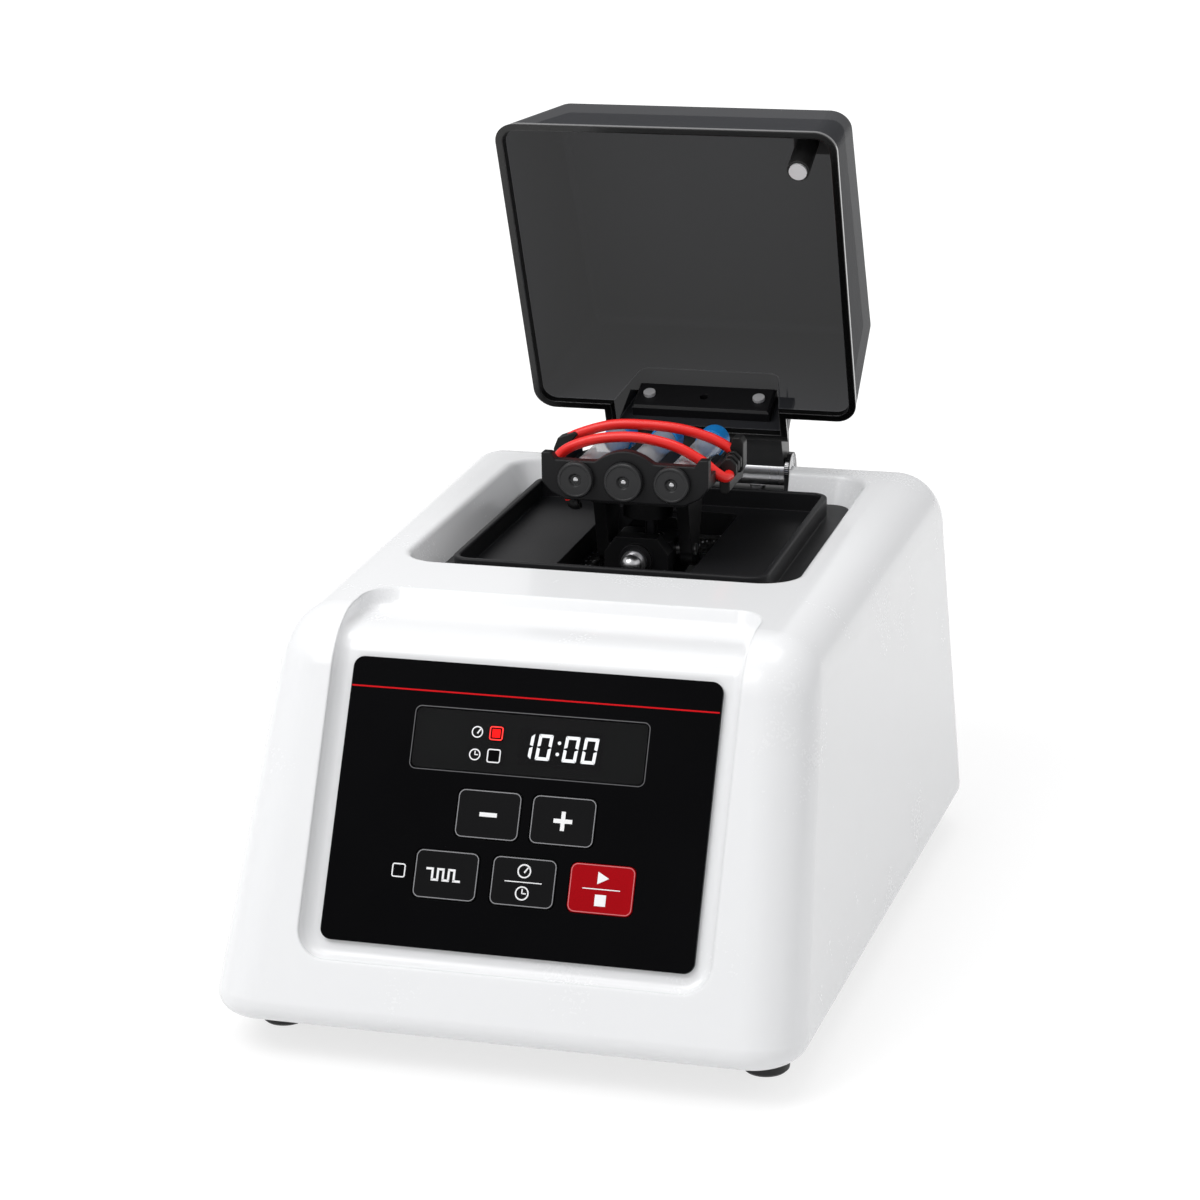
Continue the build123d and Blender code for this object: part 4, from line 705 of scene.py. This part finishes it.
def buildKnob(number, x, middle):
    low, high = boxInMillimetres(f"tube_stop_{number}")
    radius, front, back = (high[0] - low[0]) / 2, low[1], high[1]
    profile = [(front + y, r) for y, r in knobLook["dimple"]]
    profile += [(front + y, radius - inset) for y, inset in knobLook["rim"]]
    collar = back - knobLook["collarLength"]
    profile += [(front + knobLook["stemStart"], knobLook["stem"]), (collar, knobLook["stem"]),
                (collar, knobLook["collar"]), (back, knobLook["collar"]), (back, 0.0)]
    knob = turnedPiece(f"knob_{number}", profile, x, middle, "knobBlack", f"stop_{number}",
                       knobLook["steps"])
    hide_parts(f"tube_stop_{number}")
    pin = [(front + y, r) for y, r in knobLook["pin"]]
    turnedPiece(f"knob_pin_{number}", pin, x, middle, "screwSteel", f"stop_{number}",
                knobLook["pinSteps"])


# A tube with its fill and cap. Pairs are (distance, radius): mouth, step and fill behind the tube's front,
# shoulder and skirt behind the cap's join, and dome ahead of the cap's end

tubeLook = {"mouth": [(4.5, 0.0), (4.0, 3.9), (0.5, 4.3), (0.0, 4.8), (0.5, 5.3), (1.3, 5.4)],
            "step": [(11.0, 5.4), (11.4, 5.25), (12.0, 5.25)],
            "shoulder": [(-3.0, 5.3), (-2.4, 5.4), (0.0, 5.4), (0.0, 4.7)], "neck": 4.6, "steps": 36,
            "fill": [(1.4, 0.0), (1.4, 4.3), (2.2, 4.9), (6.5, 4.9), (9.5, 3.6), (10.5, 0.0)],
            "fillSteps": 30,
            "skirt": [(0.0, 0.0), (0.0, 5.7), (0.4, 6.1)],
            "dome": [(5.2, 6.2), (4.4, 6.05), (2.6, 5.5), (1.2, 4.5), (0.35, 2.9), (0.0, 1.2), (0.0, 0.0)],
            "capSteps": 40}


def buildTube(number, x, middle):
    low, high = boxInMillimetres(f"tube_{number}")
    front, back = low[1], high[1]
    capLow, capHigh = boxInMillimetres(f"cap_{number}")
    join, end = capLow[1], capHigh[1]
    wall = [(front + y, r) for y, r in tubeLook["mouth"] + tubeLook["step"]]
    wall += [(join + y, r) for y, r in tubeLook["shoulder"]] + [(back, tubeLook["neck"]), (back, 0.0)]
    body = turnedPiece(f"tube_body_{number}", wall, x, middle, "tubeFrost", "holder",
                       tubeLook["steps"])
    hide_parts(f"tube_{number}")
    fill = [(front + y, r) for y, r in tubeLook["fill"]]
    turnedPiece(f"tube_fill_{number}", fill, x, middle, "tubeFill", "holder",
                tubeLook["fillSteps"])
    cap = [(join + y, r) for y, r in tubeLook["skirt"]] + [(end - y, r) for y, r in tubeLook["dome"]]
    dome = turnedPiece(f"cap_dome_{number}", cap, x, middle, "capBlue", "holder",
                       tubeLook["capSteps"])
    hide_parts(f"cap_{number}")


def buildTubeRow():
    for number in (1, 2, 3):
        low, high = boxInMillimetres(f"tube_stop_{number}")
        x = (low[0] + high[0]) / 2
        buildKnob(number, x, holderLook["tubeHeight"])
        buildTube(number, x, holderLook["tubeHeight"])


# The bands' routes as (x, y from the band's middle, height)

bandLook = {
    "radius": 2.1,
    "front_band": [(-31.6, 1.0, 164.5), (-31.8, 0.3, 168.5), (-30.4, 0, 173.2), (-24.5, 0, 177.4),
                   (-13.0, 0, 181.0), (1.5, 0, 182.0), (16.0, 0, 179.4), (27.0, 0, 174.0),
                   (32.5, 0.2, 169.8), (35.6, 2.0, 167.4), (36.6, 6.5, 167.2), (36.6, 11.0, 168.0)],
    "rear_band": [(-34.5, 0.4, 170.5), (-33.0, 0, 173.8), (-28.5, 0, 176.9), (-15.0, 0, 181.2),
                  (-1.0, 0, 182.0), (14.0, 0, 181.0), (26.0, 0, 178.0), (33.5, 0, 174.3), (36.4, 0.2, 171.2)],
}


def buildBands():
    for label in ("front_band", "rear_band"):
        low, high = boxInMillimetres(label)
        y = (low[1] + high[1]) / 2
        points = [(px, y + dy, pz) for px, dy, pz in bandLook[label]]
        strand = strandPiece(f"{label}_strand", points, bandLook["radius"], "bandRed", "holder")
        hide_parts(label)


# Clips: a rail on each side, a ribbed sleeve on the front band's right end, the chunky hook block behind
# it and a slim hook at the left rear. An outline's points are (side, x from that side, height).

clipLook = {"setIn": 0.6, "railSetIn": 0.6, "railNarrower": 2.4, "railHeight": 6.0, "railRise": 3.4,
            "railChamfer": 1.2, "rightRailStart": 9.0, "leftRailLength": 15.0}
sleeveLook = {"ribs": 5, "start": 12.6, "pitch": 2.0, "thick": 2.1, "tall": 8.6, "short": 7.6,
              "height": 169.3, "climb": 0.25, "chamfer": 2.4, "bevel": 0.45}
hookLook = {
    "block": [("inner", 0.0, 165.0), ("outer", -1.0, 165.0), ("outer", 0.0, 167.0), ("outer", 0.0, 177.0),
              ("outer", -1.4, 179.2), ("outer", -4.4, 179.2), ("outer", -5.0, 176.2), ("inner", 0.0, 172.4)],
    "blockSpan": (9.0, 2.0), "lip": (2.4, 172.6, 3.6, 9.0, 1.0), "lipStart": 2.2,
    "finger": [("inner", -0.4, 166.0), ("outer", -1.4, 166.0), ("outer", -1.4, 171.0),
               ("outer", -3.2, 175.4), ("inner", -3.6, 178.2), ("inner", -5.0, 177.2),
               ("inner", -1.6, 173.4)],
    "fingerSpan": (10.0, 3.6), "bevel": 0.5,
}


def buildClips():
    low, high = boxInMillimetres("band_clips")
    front, back, outer = low[1], high[1], high[0]
    inner = holderLook["half"] - clipLook["setIn"]
    sides = {"inner": inner, "outer": outer}
    middle, wide = (inner + outer) / 2, outer - inner
    for side in (-1, 1):
        rail = blockOutline(side * (middle - clipLook["railSetIn"]), low[2] + clipLook["railRise"],
                            wide - clipLook["railNarrower"], clipLook["railHeight"], clipLook["railChamfer"])
        start = front + clipLook["rightRailStart"] if side > 0 else back - clipLook["leftRailLength"]
        clipPart(f"clip_rail_{side + 2}", rail, start, back)
    for k in range(sleeveLook["ribs"]):
        grown = sleeveLook["tall"] if k % 2 == 0 else sleeveLook["short"]
        rib = blockOutline(middle, sleeveLook["height"] + sleeveLook["climb"] * k,
                           wide + grown - sleeveLook["tall"], grown, sleeveLook["chamfer"])
        start = front + sleeveLook["start"] + sleeveLook["pitch"] * k
        clipPart(f"sleeve_rib_{k + 1}", rib, start, start + sleeveLook["thick"], sleeveLook["bevel"])
    block = [(sides[side] + x, z) for side, x, z in hookLook["block"]]
    start, end = hookLook["blockSpan"]
    clipPart("hook_block", block, back - start, back - end, hookLook["bevel"])
    inset, height, width, tall, chamfer = hookLook["lip"]
    lip = blockOutline(outer - inset, height, width, tall, chamfer)
    clipPart("hook_block_lip", lip, back - hookLook["lipStart"], back)
    finger = [(-sides[side] - x, z) for side, x, z in hookLook["finger"]]
    start, end = hookLook["fingerSpan"]
    clipPart("hook_finger", finger, back - start, back - end, hookLook["bevel"])


# The front band's lower end with its small hook, under the plate's left corner, as (x, height)

tailLook = {"behind": 13.0, "strand": [(-25.5, 161.0), (-25.6, 159.0), (-25.5, 157.2), (-25.2, 156.2)],
            "hook": [(-25.2, 156.4), (-24.6, 155.0), (-23.2, 154.4), (-21.8, 155.0)], "hookRadius": 2.3}


def buildBandTail():
    low, high = boxInMillimetres("tube_holder")
    y = low[1] + tailLook["behind"]
    strand = [(x, y, z) for x, z in tailLook["strand"]]
    strandPiece("band_tail", strand, bandLook["radius"], "bandRed", "holder")
    hook = [(x, y, z) for x, z in tailLook["hook"]]
    strandPiece("band_tail_hook", hook, tailLook["hookRadius"], "clipBlack", "holder")


buildFrontPlate()
buildCradle()
buildHingeDiscs()
buildTubeRow()
buildBands()
buildClips()
buildBandTail()
print("holder, tubes and bands made")


# The key panel's own directions, read from the keys' travel and the panel's solid

pressAxis = Vector(joints["plus_press"]["axis"])
outward = -pressAxis.normalized()
across = Vector((1, 0, 0))
upward = outward.cross(across)
panelPoints = [Vector(v.co) for v in nodes["control_panel"].data.vertices]
panelFront = max(p.dot(outward) for p in panelPoints)
panelHeights = [p.dot(upward) for p in panelPoints]
panelMiddle = (max(panelHeights) + min(panelHeights)) / 2


def onPanel(u, v, lift):
    return across * u * mm + upward * (panelMiddle + v * mm) + outward * (panelFront + lift * mm)


# Flat art of one or more loops, and a thin frame with rounded corners, both as thick as their ink

inkLook = {"thick": 0.05, "litThick": 0.04, "smallestRadius": 0.2}


def flatArt(name, loops, lift, look, body, thick=inkLook["thick"]):
    vertices, faces = [], []
    for loop in loops:
        base = len(vertices)
        count = len(loop)
        vertices += [onPanel(u, v, lift + thick) for u, v in loop]
        vertices += [onPanel(u, v, lift) for u, v in loop]
        faces.append(tuple(range(base, base + count)))
        for k in range(count):
            n = (k + 1) % count
            faces.append((base + k, base + count + k, base + count + n, base + n))
    return makePiece(name, vertices, faces, look, body)


def ringArt(name, middle, size, radius, line, lift, look, body):
    outer = roundedOutline(size[0], size[1], radius)
    innerRadius = max(radius - line, inkLook["smallestRadius"])
    inner = roundedOutline(size[0] - 2 * line, size[1] - 2 * line, innerRadius)
    count = len(outer)
    top = lift + inkLook["thick"]
    vertices = [onPanel(middle[0] + u, middle[1] + v, top) for u, v in outer]
    vertices += [onPanel(middle[0] + u, middle[1] + v, top) for u, v in inner]
    vertices += [onPanel(middle[0] + u, middle[1] + v, lift) for u, v in outer]
    faces = []
    for k in range(count):
        n = (k + 1) % count
        faces.append((k, n, count + n, count + k))
        faces.append((k, 2 * count + k, 2 * count + n, n))
    return makePiece(name, vertices, faces, look, body)


def bar(middle, width, height):
    u, v = middle
    return [(u - width / 2, v - height / 2), (u + width / 2, v - height / 2),
            (u + width / 2, v + height / 2), (u - width / 2, v + height / 2)]


def disc(middle, radius, steps=24):
    return [(middle[0] + radius * math.cos(2 * math.pi * k / steps),
             middle[1] + radius * math.sin(2 * math.pi * k / steps)) for k in range(steps)]


# Lines round the window, the lamps and the keys, and the red stripe. Places are from the panel's middle

panelLook = {"width": 136.0, "margin": 0.4, "stripe": 40.2, "stripeLine": 0.55,
             "window": dict(middle=(0.4, 23.4), size=(86.4, 22.9), radius=2.4, line=0.3),
             "keySize": (22.9, 16.9), "keyRadius": 2.4, "keyLine": 0.32, "keyProud": 0.2,
             "lampSize": (5.0, 5.0), "lampRadius": 0.9, "lampLine": 0.45, "litCore": 3.0}
keySpots = {"minus": (-11.4, -2.3), "plus": (15.9, -2.3), "pulse": (-24.2, -24.8),
            "speed_time": (4.1, -24.8), "start_stop": (32.4, -24.8)}
lampSpots = {"lamp_high": (-12.0, 26.8), "lamp_low": (-12.0, 18.7), "lamp_pulse": (-41.8, -24.5)}


def buildPanelLines():
    reach = panelLook["width"] - 2 * panelLook["margin"]
    stripe = bar((0.0, panelLook["stripe"]), reach, panelLook["stripeLine"])
    flatArt("panel_stripe", [stripe], 0.0, "printRed", "housing")
    window = panelLook["window"]
    ringArt("window_outline", window["middle"], window["size"], window["radius"], window["line"], 0.0,
            "panelGrey", "housing")
    for name, spot in keySpots.items():
        tone = "printPink" if name == "start_stop" else "printGrey"
        ringArt(f"{name}_outline", spot, panelLook["keySize"], panelLook["keyRadius"], panelLook["keyLine"],
                panelLook["keyProud"], tone, name)
    for name, spot in lampSpots.items():
        tone = "lampEdge" if name == "lamp_high" else "printWhite"
        ringArt(f"{name}_outline", spot, panelLook["lampSize"], panelLook["lampRadius"],
                panelLook["lampLine"], 0.0, tone, "housing")


# Plain signs in place of words: minus, plus, a square wave for the pulse key, a dial for speed, a clock
# for time, an arrow to start and a square to stop. A needle's points and a hand's bar start from the
# sign's middle.

signLook = {
    "minus": (6.4, 1.5), "plusArm": 3.4, "plusHalf": 0.75,
    "waves": 3, "waveStart": 6.0, "waveStep": 2.0, "waveRise": 1.9, "waveHalf": 0.4,
    "rule": (13.5, 0.35), "rowGap": 3.9, "arrow": [(-1.7, -2.2), (2.4, 0.0), (-1.7, 2.2)], "square": 4.0,
    "keyRing": dict(size=5.0, line=0.5, needle=[(-0.2, -0.4), (0.3, -0.7), (1.7, 1.5), (1.3, 1.7)],
                    hands=[((0.0, 0.7), 0.45, 1.8), ((0.75, -0.05), 1.5, 0.45)]),
    "lampRing": dict(size=4.2, line=0.45, needle=[(-0.2, -0.4), (0.3, -0.7), (1.4, 1.2), (1.0, 1.4)],
                     hands=[((0.0, 0.6), 0.4, 1.5), ((0.6, 0.0), 1.2, 0.4)]),
    "lampRingShift": 7.0, "ringFlat": 0.05,
}


def keySign(name, loops, key):
    flatArt(name, loops, panelLook["keyProud"], "printWhite", key)


def plusLoop(u, v):
    arm, half = signLook["plusArm"], signLook["plusHalf"]
    return [(u - arm, v - half), (u - half, v - half), (u - half, v - arm), (u + half, v - arm),
            (u + half, v - half), (u + arm, v - half), (u + arm, v + half), (u + half, v + half),
            (u + half, v + arm), (u - half, v + arm), (u - half, v + half), (u - arm, v + half)]


def waveLoops(u, v):
    half, step, rise = signLook["waveHalf"], signLook["waveStep"], signLook["waveRise"]
    level, upright = (step + 2 * half, 2 * half), (2 * half, 2 * rise)
    loops = []
    for k in range(signLook["waves"]):
        x = u - signLook["waveStart"] + 2 * step * k
        loops += [bar((x, v + rise), *level), bar((x + step, v - rise), *level),
                  bar((x + step / 2, v), *upright)]
        if k < signLook["waves"] - 1:
            loops.append(bar((x + 1.5 * step, v), *upright))
    return loops


def signRing(name, middle, look, lift, body):
    size = look["size"]
    radius = size / 2 - signLook["ringFlat"]
    ringArt(name, middle, (size, size), radius, look["line"], lift, "printWhite", body)


def dialSign(ringName, handName, middle, look, lift, body):
    signRing(ringName, middle, look, lift, body)
    needle = [(middle[0] + u, middle[1] + v) for u, v in look["needle"]]
    flatArt(handName, [needle], lift, "printWhite", body)


def clockSign(ringName, handName, middle, look, lift, body):
    signRing(ringName, middle, look, lift, body)
    hands = [bar((middle[0] + u, middle[1] + v), width, height) for (u, v), width, height in look["hands"]]
    flatArt(handName, hands, lift, "printWhite", body)


def buildSigns():
    keySign("minus_sign", [bar(keySpots["minus"], *signLook["minus"])], "minus")
    keySign("plus_sign", [plusLoop(*keySpots["plus"])], "plus")
    keySign("pulse_sign", waveLoops(*keySpots["pulse"]), "pulse")
    proud, gap = panelLook["keyProud"], signLook["rowGap"]
    u, v = keySpots["speed_time"]
    keySign("speed_time_line", [bar((u, v), *signLook["rule"])], "speed_time")
    dialSign("speed_sign", "speed_hand", (u, v + gap), signLook["keyRing"], proud, "speed_time")
    clockSign("time_sign", "time_hand", (u, v - gap), signLook["keyRing"], proud, "speed_time")
    u, v = keySpots["start_stop"]
    keySign("start_stop_line", [bar((u, v), *signLook["rule"])], "start_stop")
    arrow = [(u + x, v + gap + y) for x, y in signLook["arrow"]]
    keySign("start_sign", [arrow], "start_stop")
    keySign("stop_sign", [bar((u, v - gap), signLook["square"], signLook["square"])], "start_stop")
    # the same dial and clock stand to the left of the two lamps
    shift, ring = signLook["lampRingShift"], signLook["lampRing"]
    u, v = lampSpots["lamp_high"]
    dialSign("speed_mark", "speed_mark_hand", (u - shift, v), ring, 0.0, "housing")
    u, v = lampSpots["lamp_low"]
    clockSign("time_mark", "time_mark_hand", (u - shift, v), ring, 0.0, "housing")


# Seven-segment digits behind the window

digitLook = {"text": "10:00", "left": -2.0, "bottom": 18.7, "height": 9.3, "width": 5.2, "pitch": 6.9,
             "line": 1.15, "gap": 0.16, "lean": 0.09, "narrowShift": 2.2, "narrowPitch": 4.6, "lift": -1.55,
             "dots": (2.6, 6.6), "dotShift": 0.9, "dotRadius": 0.62, "dotPitch": 2.9}
segmentsOf = {"0": "abcdef", "1": "bc"}


def leaned(x, v):
    return x + (v - digitLook["bottom"]) * digitLook["lean"]


def segmentLoops(character, x):
    w, h, t = digitLook["width"], digitLook["height"], digitLook["line"]
    y, gap = digitLook["bottom"], digitLook["gap"]
    middle = y + h / 2
    spots = {
        "a": [(x + gap, y + h), (x + w - gap, y + h), (x + w - t, y + h - t), (x + t, y + h - t)],
        "d": [(x + t, y + t), (x + w - t, y + t), (x + w - gap, y), (x + gap, y)],
        "b": [(x + w, y + h - gap), (x + w, middle + gap), (x + w - t, middle + t / 2),
              (x + w - t, y + h - t)],
        "c": [(x + w - t, middle - t / 2), (x + w, middle - gap), (x + w, y + gap), (x + w - t, y + t)],
        "f": [(x, y + h - gap), (x + t, y + h - t), (x + t, middle + t / 2), (x, middle + gap)],
        "e": [(x, middle - gap), (x + t, middle - t / 2), (x + t, y + t), (x, y + gap)],
    }
    return [[(leaned(u, v), v) for u, v in spots[s]] for s in segmentsOf[character]]


def buildDigits():
    loops = []
    x = digitLook["left"]
    for character in digitLook["text"]:
        if character == ":":
            for rise in digitLook["dots"]:
                v = digitLook["bottom"] + rise
                loops.append(disc((leaned(x + digitLook["dotShift"], v), v), digitLook["dotRadius"]))
            x += digitLook["dotPitch"]
        elif character == "1":
            loops += segmentLoops(character, x - digitLook["narrowShift"])
            x += digitLook["narrowPitch"]
        else:
            loops += segmentLoops(character, x)
            x += digitLook["pitch"]
    flatArt("lit_digits", loops, digitLook["lift"], "digitWhite", "housing")


def buildLitCore():
    core = bar(lampSpots["lamp_high"], panelLook["litCore"], panelLook["litCore"])
    flatArt("lamp_core", [core], 0.0, "lampLit", "housing", inkLook["litThick"])


buildPanelLines()
buildSigns()
buildDigits()
buildLitCore()
print("panel art made")


# Floor, light and camera

stageLook = {"reach": 6.0, "floorTone": 0.80, "glow": 0.64, "glowTone": 1.17, "near": 0.22, "far": 0.52,
             "worldTone": (0.60, 0.60, 0.605)}


def buildFloor():
    reach = stageLook["reach"]
    corners = [(-reach, -reach, 0), (reach, -reach, 0), (reach, reach, 0), (-reach, reach, 0)]
    data = bpy.data.meshes.new("pale_floor")
    data.from_pydata(corners, [], [(0, 1, 2, 3)])
    floor = bpy.data.objects.new("pale_floor", data)
    bpy.context.scene.collection.objects.link(floor)
    material = bpy.data.materials.new("floorPale")
    material.use_nodes = True
    tree = material.node_tree
    tree.nodes.clear()
    out = addNode(tree, "ShaderNodeOutputMaterial")
    diffuse = addNode(tree, "ShaderNodeBsdfDiffuse")
    diffuse.inputs["Color"].default_value = (stageLook["floorTone"],) * 3 + (1,)
    glow = addNode(tree, "ShaderNodeEmission")
    glow.inputs["Color"].default_value = (1, 1, 1, 1)
    glow.inputs["Strength"].default_value = stageLook["glowTone"]
    path = addNode(tree, "ShaderNodeLightPath")
    place = addNode(tree, "ShaderNodeTexCoord").outputs["Object"]
    away = addNode(tree, "ShaderNodeVectorMath", operation="LENGTH")
    tree.links.new(place, away.inputs[0])
    fade = addNode(tree, "ShaderNodeMapRange", interpolation_type="SMOOTHSTEP")
    fade.inputs["From Min"].default_value = stageLook["near"]
    fade.inputs["From Max"].default_value = stageLook["far"]
    fade.inputs["To Min"].default_value = stageLook["glow"]
    fade.inputs["To Max"].default_value = 1.0
    tree.links.new(away.outputs["Value"], fade.inputs["Value"])
    seen = mathNode(tree, "MAXIMUM", path.outputs["Is Camera Ray"], path.outputs["Is Glossy Ray"])
    seen = mathNode(tree, "MAXIMUM", seen, path.outputs["Is Transmission Ray"])
    mix = addNode(tree, "ShaderNodeMixShader")
    tree.links.new(mathNode(tree, "MULTIPLY", seen, fade.outputs[0]), mix.inputs[0])
    tree.links.new(diffuse.outputs[0], mix.inputs[1])
    tree.links.new(glow.outputs[0], mix.inputs[2])
    tree.links.new(mix.outputs[0], out.inputs[0])
    data.materials.append(material)


def buildWorld():
    world = bpy.data.worlds.new("softWorld")
    bpy.context.scene.world = world
    world.use_nodes = True
    tree = world.node_tree
    tree.nodes.clear()
    out = addNode(tree, "ShaderNodeOutputWorld")
    back = addNode(tree, "ShaderNodeBackground")
    path = addNode(tree, "ShaderNodeLightPath")
    seen = mathNode(tree, "MAXIMUM", path.outputs["Is Camera Ray"], path.outputs["Is Transmission Ray"])
    tone = mixColour(tree, seen, (*stageLook["worldTone"], 1), (1, 1, 1, 1))
    tree.links.new(tone, back.inputs["Color"])
    tree.links.new(back.outputs[0], out.inputs[0])


lampLook = {
    "keyBox": dict(place=(-0.85, -0.75, 1.65), size=(1.3, 1.0), power=19.5),
    "sideBox": dict(place=(1.5, -0.5, 0.9), size=(1.0, 1.0), power=0.8),
    "backBox": dict(place=(0.0, 0.30, 1.9), size=(1.2, 0.8), power=9.5),
}
lampAim = Vector((0, 0, 0.12))


def buildLamps():
    for name, look in lampLook.items():
        light = bpy.data.lights.new(name, "AREA")
        light.shape = "RECTANGLE"
        light.size, light.size_y = look["size"]
        light.energy = look["power"]
        lamp = bpy.data.objects.new(name, light)
        bpy.context.scene.collection.objects.link(lamp)
        lamp.location = look["place"]
        lamp.rotation_euler = (lampAim - Vector(look["place"])).to_track_quat("-Z", "Y").to_euler()


cameraLook = {"place": (0.2927, -1.1257, 0.4744), "yaw": 0.26282, "pitch": 0.29552, "roll": -0.00991,
              "lens": 92.907, "sensor": 36.0}


def buildCamera():
    data = bpy.data.cameras.new("photo_camera")
    data.lens = cameraLook["lens"]
    data.sensor_width = cameraLook["sensor"]
    camera = bpy.data.objects.new("photo_camera", data)
    bpy.context.scene.collection.objects.link(camera)
    yaw, pitch, roll = cameraLook["yaw"], cameraLook["pitch"], cameraLook["roll"]
    ahead = Vector((-math.sin(yaw) * math.cos(pitch), math.cos(yaw) * math.cos(pitch), -math.sin(pitch)))
    level = Vector((math.cos(yaw), math.sin(yaw), 0))
    above = level.cross(ahead)
    right = math.cos(roll) * level + math.sin(roll) * above
    up = -math.sin(roll) * level + math.cos(roll) * above
    turn = Matrix((right, up, -ahead)).transposed()
    camera.matrix_world = Matrix.Translation(cameraLook["place"]) @ turn.to_4x4()
    bpy.context.scene.camera = camera


buildFloor()
buildWorld()
buildLamps()
buildCamera()
bpy.context.scene.view_settings.view_transform = "Standard"
print("stage, lamps and camera made")
